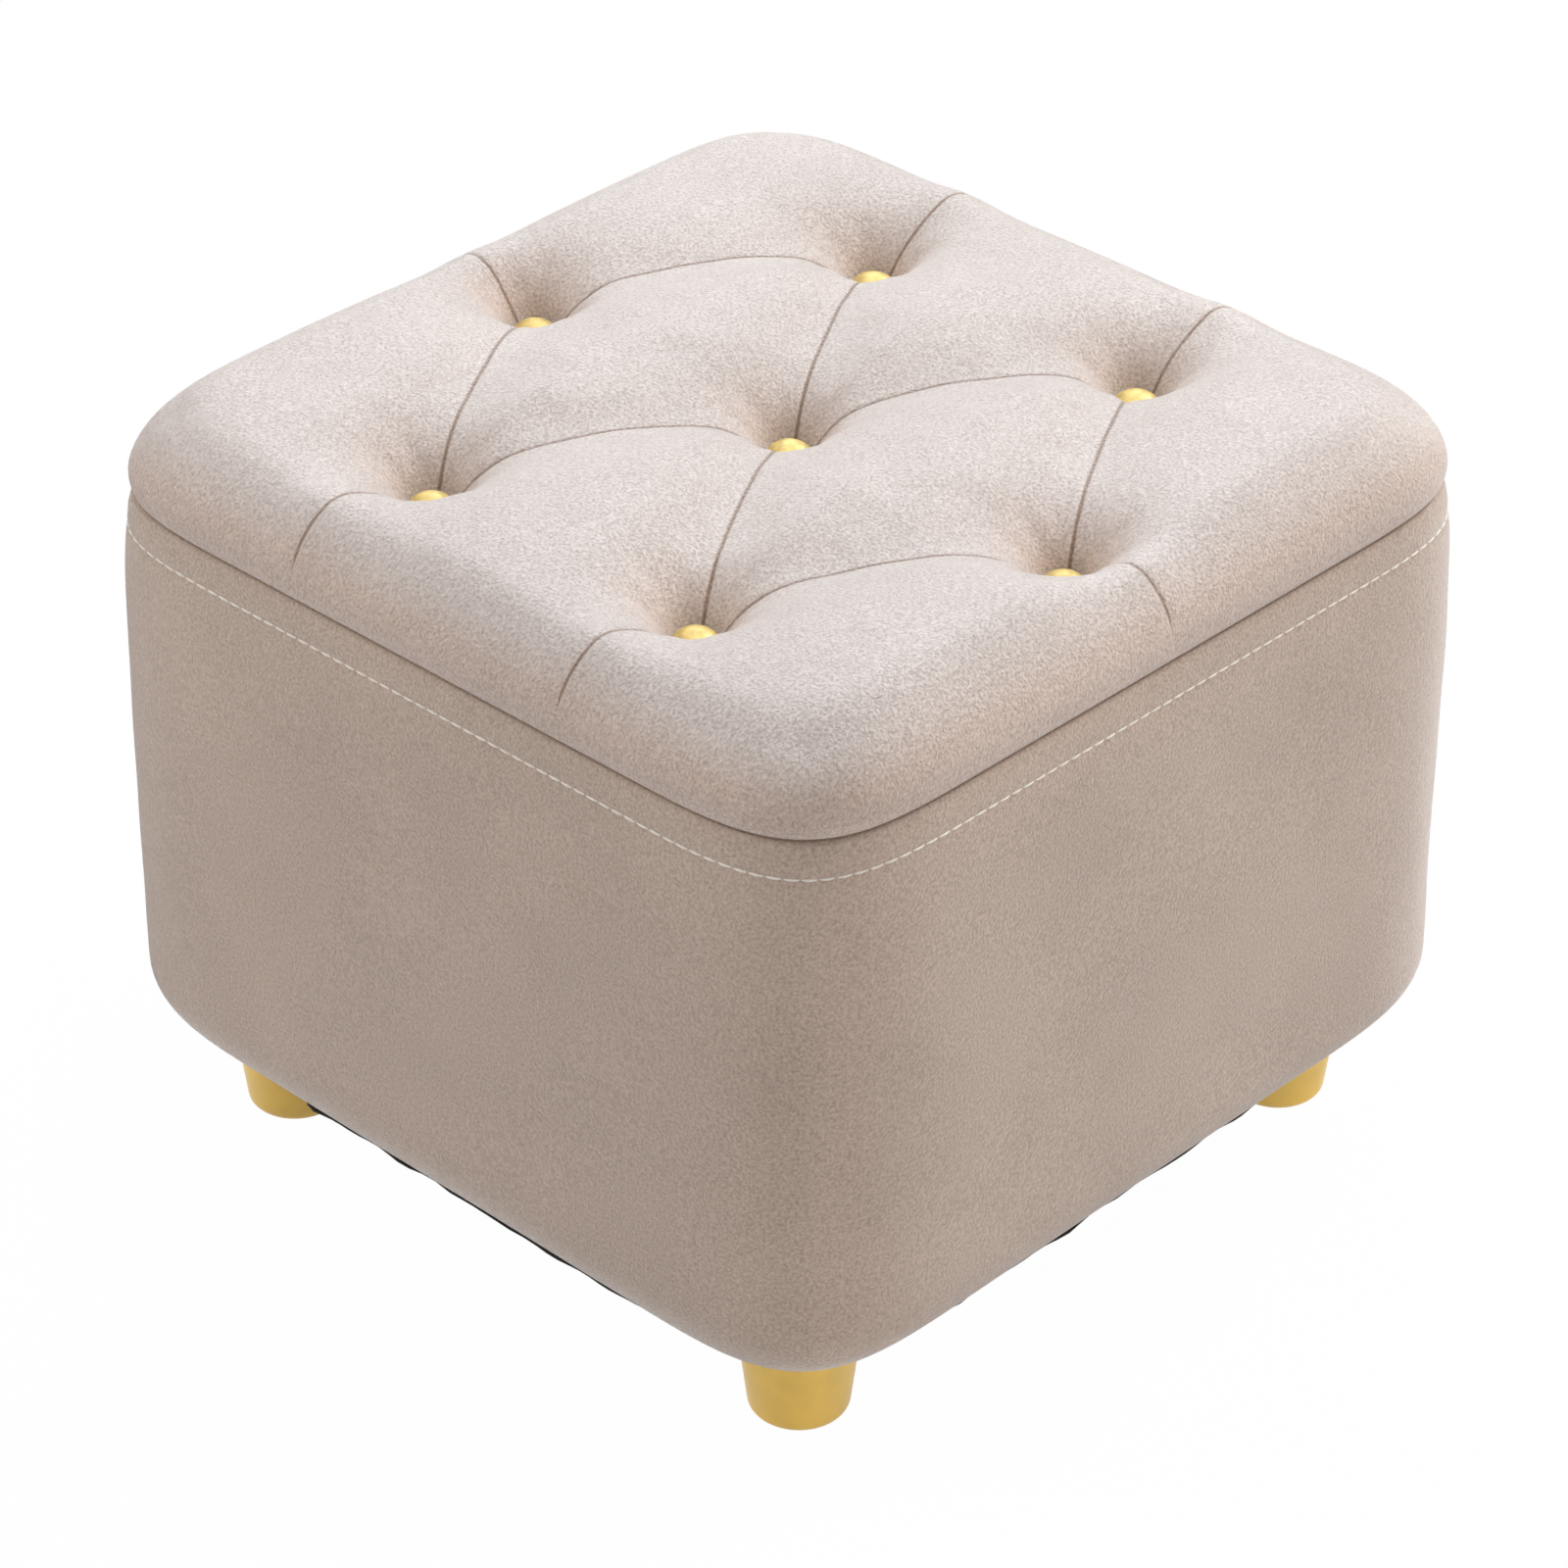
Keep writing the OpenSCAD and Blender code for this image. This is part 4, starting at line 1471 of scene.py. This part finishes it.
@dataclass
class Studio:
    """Floor, lights and camera."""

    azimuth: float = -46.39
    elevation: float = 33.19
    roll: float = 0.19
    target: Triple = (-21.25 * MM, -19.76 * MM, 128.9 * MM)
    distance: float = 1580.2 * MM
    focal_px: float = 5707.5
    centre_px: Pair = (802.9, 800.1)
    frame_px: int = 1600
    sensor_mm: float = 36.0
    clip: Pair = (0.05, 50.0)
    floor_half: float = 6.0
    floor_grey: float = 0.75
    floor_white: float = 0.985
    ambient: float = 0.06
    lamps: tuple[Lamp, ...] = (
        Lamp("lamp_right", (1.5, -0.3, 1.2), 31.0),
        Lamp("lamp_rim", (1.2, 1.2, 1.0), 13.0),
        Lamp("lamp_over", (0.0, 0.0, 2.0), 12.5),
        Lamp("lamp_front", (-0.5, -1.8, 0.9), 13.0),
        Lamp("lamp_back", (-1.15, 1.45, 1.0), 22.0),
    )

    def build_camera(self) -> None:
        """Places the camera at the photograph's angle and distance."""
        a, e = math.radians(self.azimuth), math.radians(self.elevation)
        back = Vector((math.sin(a) * math.cos(e), -math.cos(a) * math.cos(e), math.sin(e)))
        turn = Matrix.Rotation(math.radians(self.roll), 3, back)
        right = turn @ Vector((math.cos(a), math.sin(a), 0))
        place = Matrix((right, back.cross(right), back)).transposed().to_4x4()
        place.translation = Vector(self.target) + back * self.distance
        data = bpy.data.cameras.new("camera")
        data.sensor_width = self.sensor_mm
        data.lens = self.focal_px / self.frame_px * self.sensor_mm
        data.shift_x = (self.frame_px / 2 - self.centre_px[0]) / self.frame_px
        data.shift_y = (self.centre_px[1] - self.frame_px / 2) / self.frame_px
        data.clip_start, data.clip_end = self.clip
        camera = bpy.data.objects.new("camera", data)
        camera.matrix_world = place
        bpy.context.scene.collection.objects.link(camera)
        bpy.context.scene.camera = camera

    def build_floor(self) -> None:
        """Lays the pale floor, which shows white to the camera and keeps the stool's shadow."""
        nodes = Nodes("pale_floor")
        grey = (*(self.floor_grey,) * 3, 1)
        nodes.set(Base_Color=grey, Roughness=0.9, Specular_IOR_Level=0.1)
        glow = nodes.add("ShaderNodeEmission", Color=(1, 1, 1, 1), Strength=1.0)
        plain, white = nodes.shader.outputs["BSDF"], glow.outputs["Emission"]
        surface = nodes.tree.nodes["Material Output"].inputs["Surface"]
        show_white(nodes.tree, plain, white, surface, self.floor_white)
        corners = np.array([[-1, -1, 0], [1, -1, 0], [1, 1, 0], [-1, 1, 0]]) * self.floor_half
        floor = new_piece("floor", corners, np.array([[0, 1, 2, 3]]), nodes.material, smooth=False)

    def build_world(self) -> None:
        """Makes the soft white surroundings: dim for the stool, white for the camera."""
        world = bpy.data.worlds.new("studio")
        bpy.context.scene.world = world
        world.use_nodes = True
        tree = world.node_tree
        dim = tree.nodes["Background"]
        dim.inputs["Color"].default_value = (1, 1, 1, 1)
        dim.inputs["Strength"].default_value = self.ambient
        white = add_node(tree, "ShaderNodeBackground", Color=(1, 1, 1, 1), Strength=1.0)
        plain, surface = dim.outputs["Background"], tree.nodes["World Output"].inputs["Surface"]
        show_white(tree, plain, white.outputs["Background"], surface, 1.0)

    def build(self) -> None:
        """Sets up the whole studio."""
        bpy.context.scene.view_settings.view_transform = "Standard"
        self.build_camera()
        for lamp in self.lamps:
            lamp.hang()
        self.build_floor()
        self.build_world()


def choose_finishes() -> Finishes:
    """Chooses the finish of each of the stool's material slots.

    Returns:
        The finishes.
    """
    side_pile, side_shade = (209, 188, 173), (175, 154, 139)
    return Finishes(
        {
            # One cloth: the top's colours are painted lighter than the side's, as painted light
            "suede_top": Suede(
                "suede_top",
                pile=(230, 207, 193),
                shade=(189, 167, 154),
                lit_up_pile=(241, 233, 230),
                lit_up_shade=(194, 182, 176),
                depth=0.75 * MM,
            ),
            "suede_side": Suede(
                "suede_side",
                pile=side_pile,
                shade=side_shade,
                lit_up_pile=side_pile,
                lit_up_shade=side_shade,
                depth=0.4 * MM,
            ),
            "foam": Fibre("foam", (240, 226, 190), (222, 205, 165), 1.6 * MM, 0.25 * MM),
            "twine": Fibre("pale_thread", (247, 241, 233), (226, 217, 207), 0.5 * MM, 0.05 * MM),
            "dust_cloth": Fibre("dust_cloth", (58, 55, 53), (36, 34, 33), 0.8 * MM, 0.08 * MM),
            "glide_felt": Fibre("glide_felt", (78, 73, 69), (52, 48, 45), 0.7 * MM, 0.1 * MM),
            "gold_button": GoldLacquer(
                "gold_button", (250, 222, 138), metallic=0.2, roughness=0.45, mottle=420, worn=0.7
            ),
            "gold_foot": GoldLacquer("gold_foot", (238, 196, 92), metallic=0.25, roughness=0.4),
            "zinc_steel": Steel("zinc_steel", (190, 190, 186)),
            "plywood": Wood("plywood", (214, 178, 130), (186, 146, 98)),
            "particle_board": Wood(
                "particle_board", (205, 172, 126), (178, 144, 100), Grain.ALONG_Y
            ),
            "hardboard": Wood("hardboard", (128, 94, 62), (98, 70, 46)),
        }
    )


def main() -> None:
    """Builds the stool round its CAD model, and the studio."""
    logging.basicConfig(level=logging.INFO, format="%(message)s")
    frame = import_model()
    for stray in [o for o in bpy.data.objects if o.type in {"LIGHT", "CAMERA"}]:
        bpy.data.objects.remove(stray)
    Studio().build()

    seat_low, seat_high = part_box("seat_cover")
    side_low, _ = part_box("side_cover")
    button_low, button_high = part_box("button_back_right")
    finishes = choose_finishes()
    plan = Plan(half_w=seat_high.x)
    tufting = Tufting(
        plan=plan,
        pitch_x=(button_low.x + button_high.x) / 2,
        pitch_y=(button_low.y + button_high.y) / 2,
        dimple_z=button_low.z + SHANK_L - BUTTON_SINK,
    )
    button_r = (button_high.x - button_low.x) / 2
    seat = Seat(tufting, finishes, seam_z=seat_low.z, button_r=button_r)
    sides = Sides(plan, finishes, seam_z=seat_low.z, under_z=side_low.z)
    for assembly in (seat, sides, Underside(plan, finishes)):
        for piece in assembly.build():
            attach(piece, BODY)
            LOG.info("built %s with %d faces", piece.name, len(piece.data.polygons))
    finishes.dress(frame)


if __name__ == "__main__":
    main()
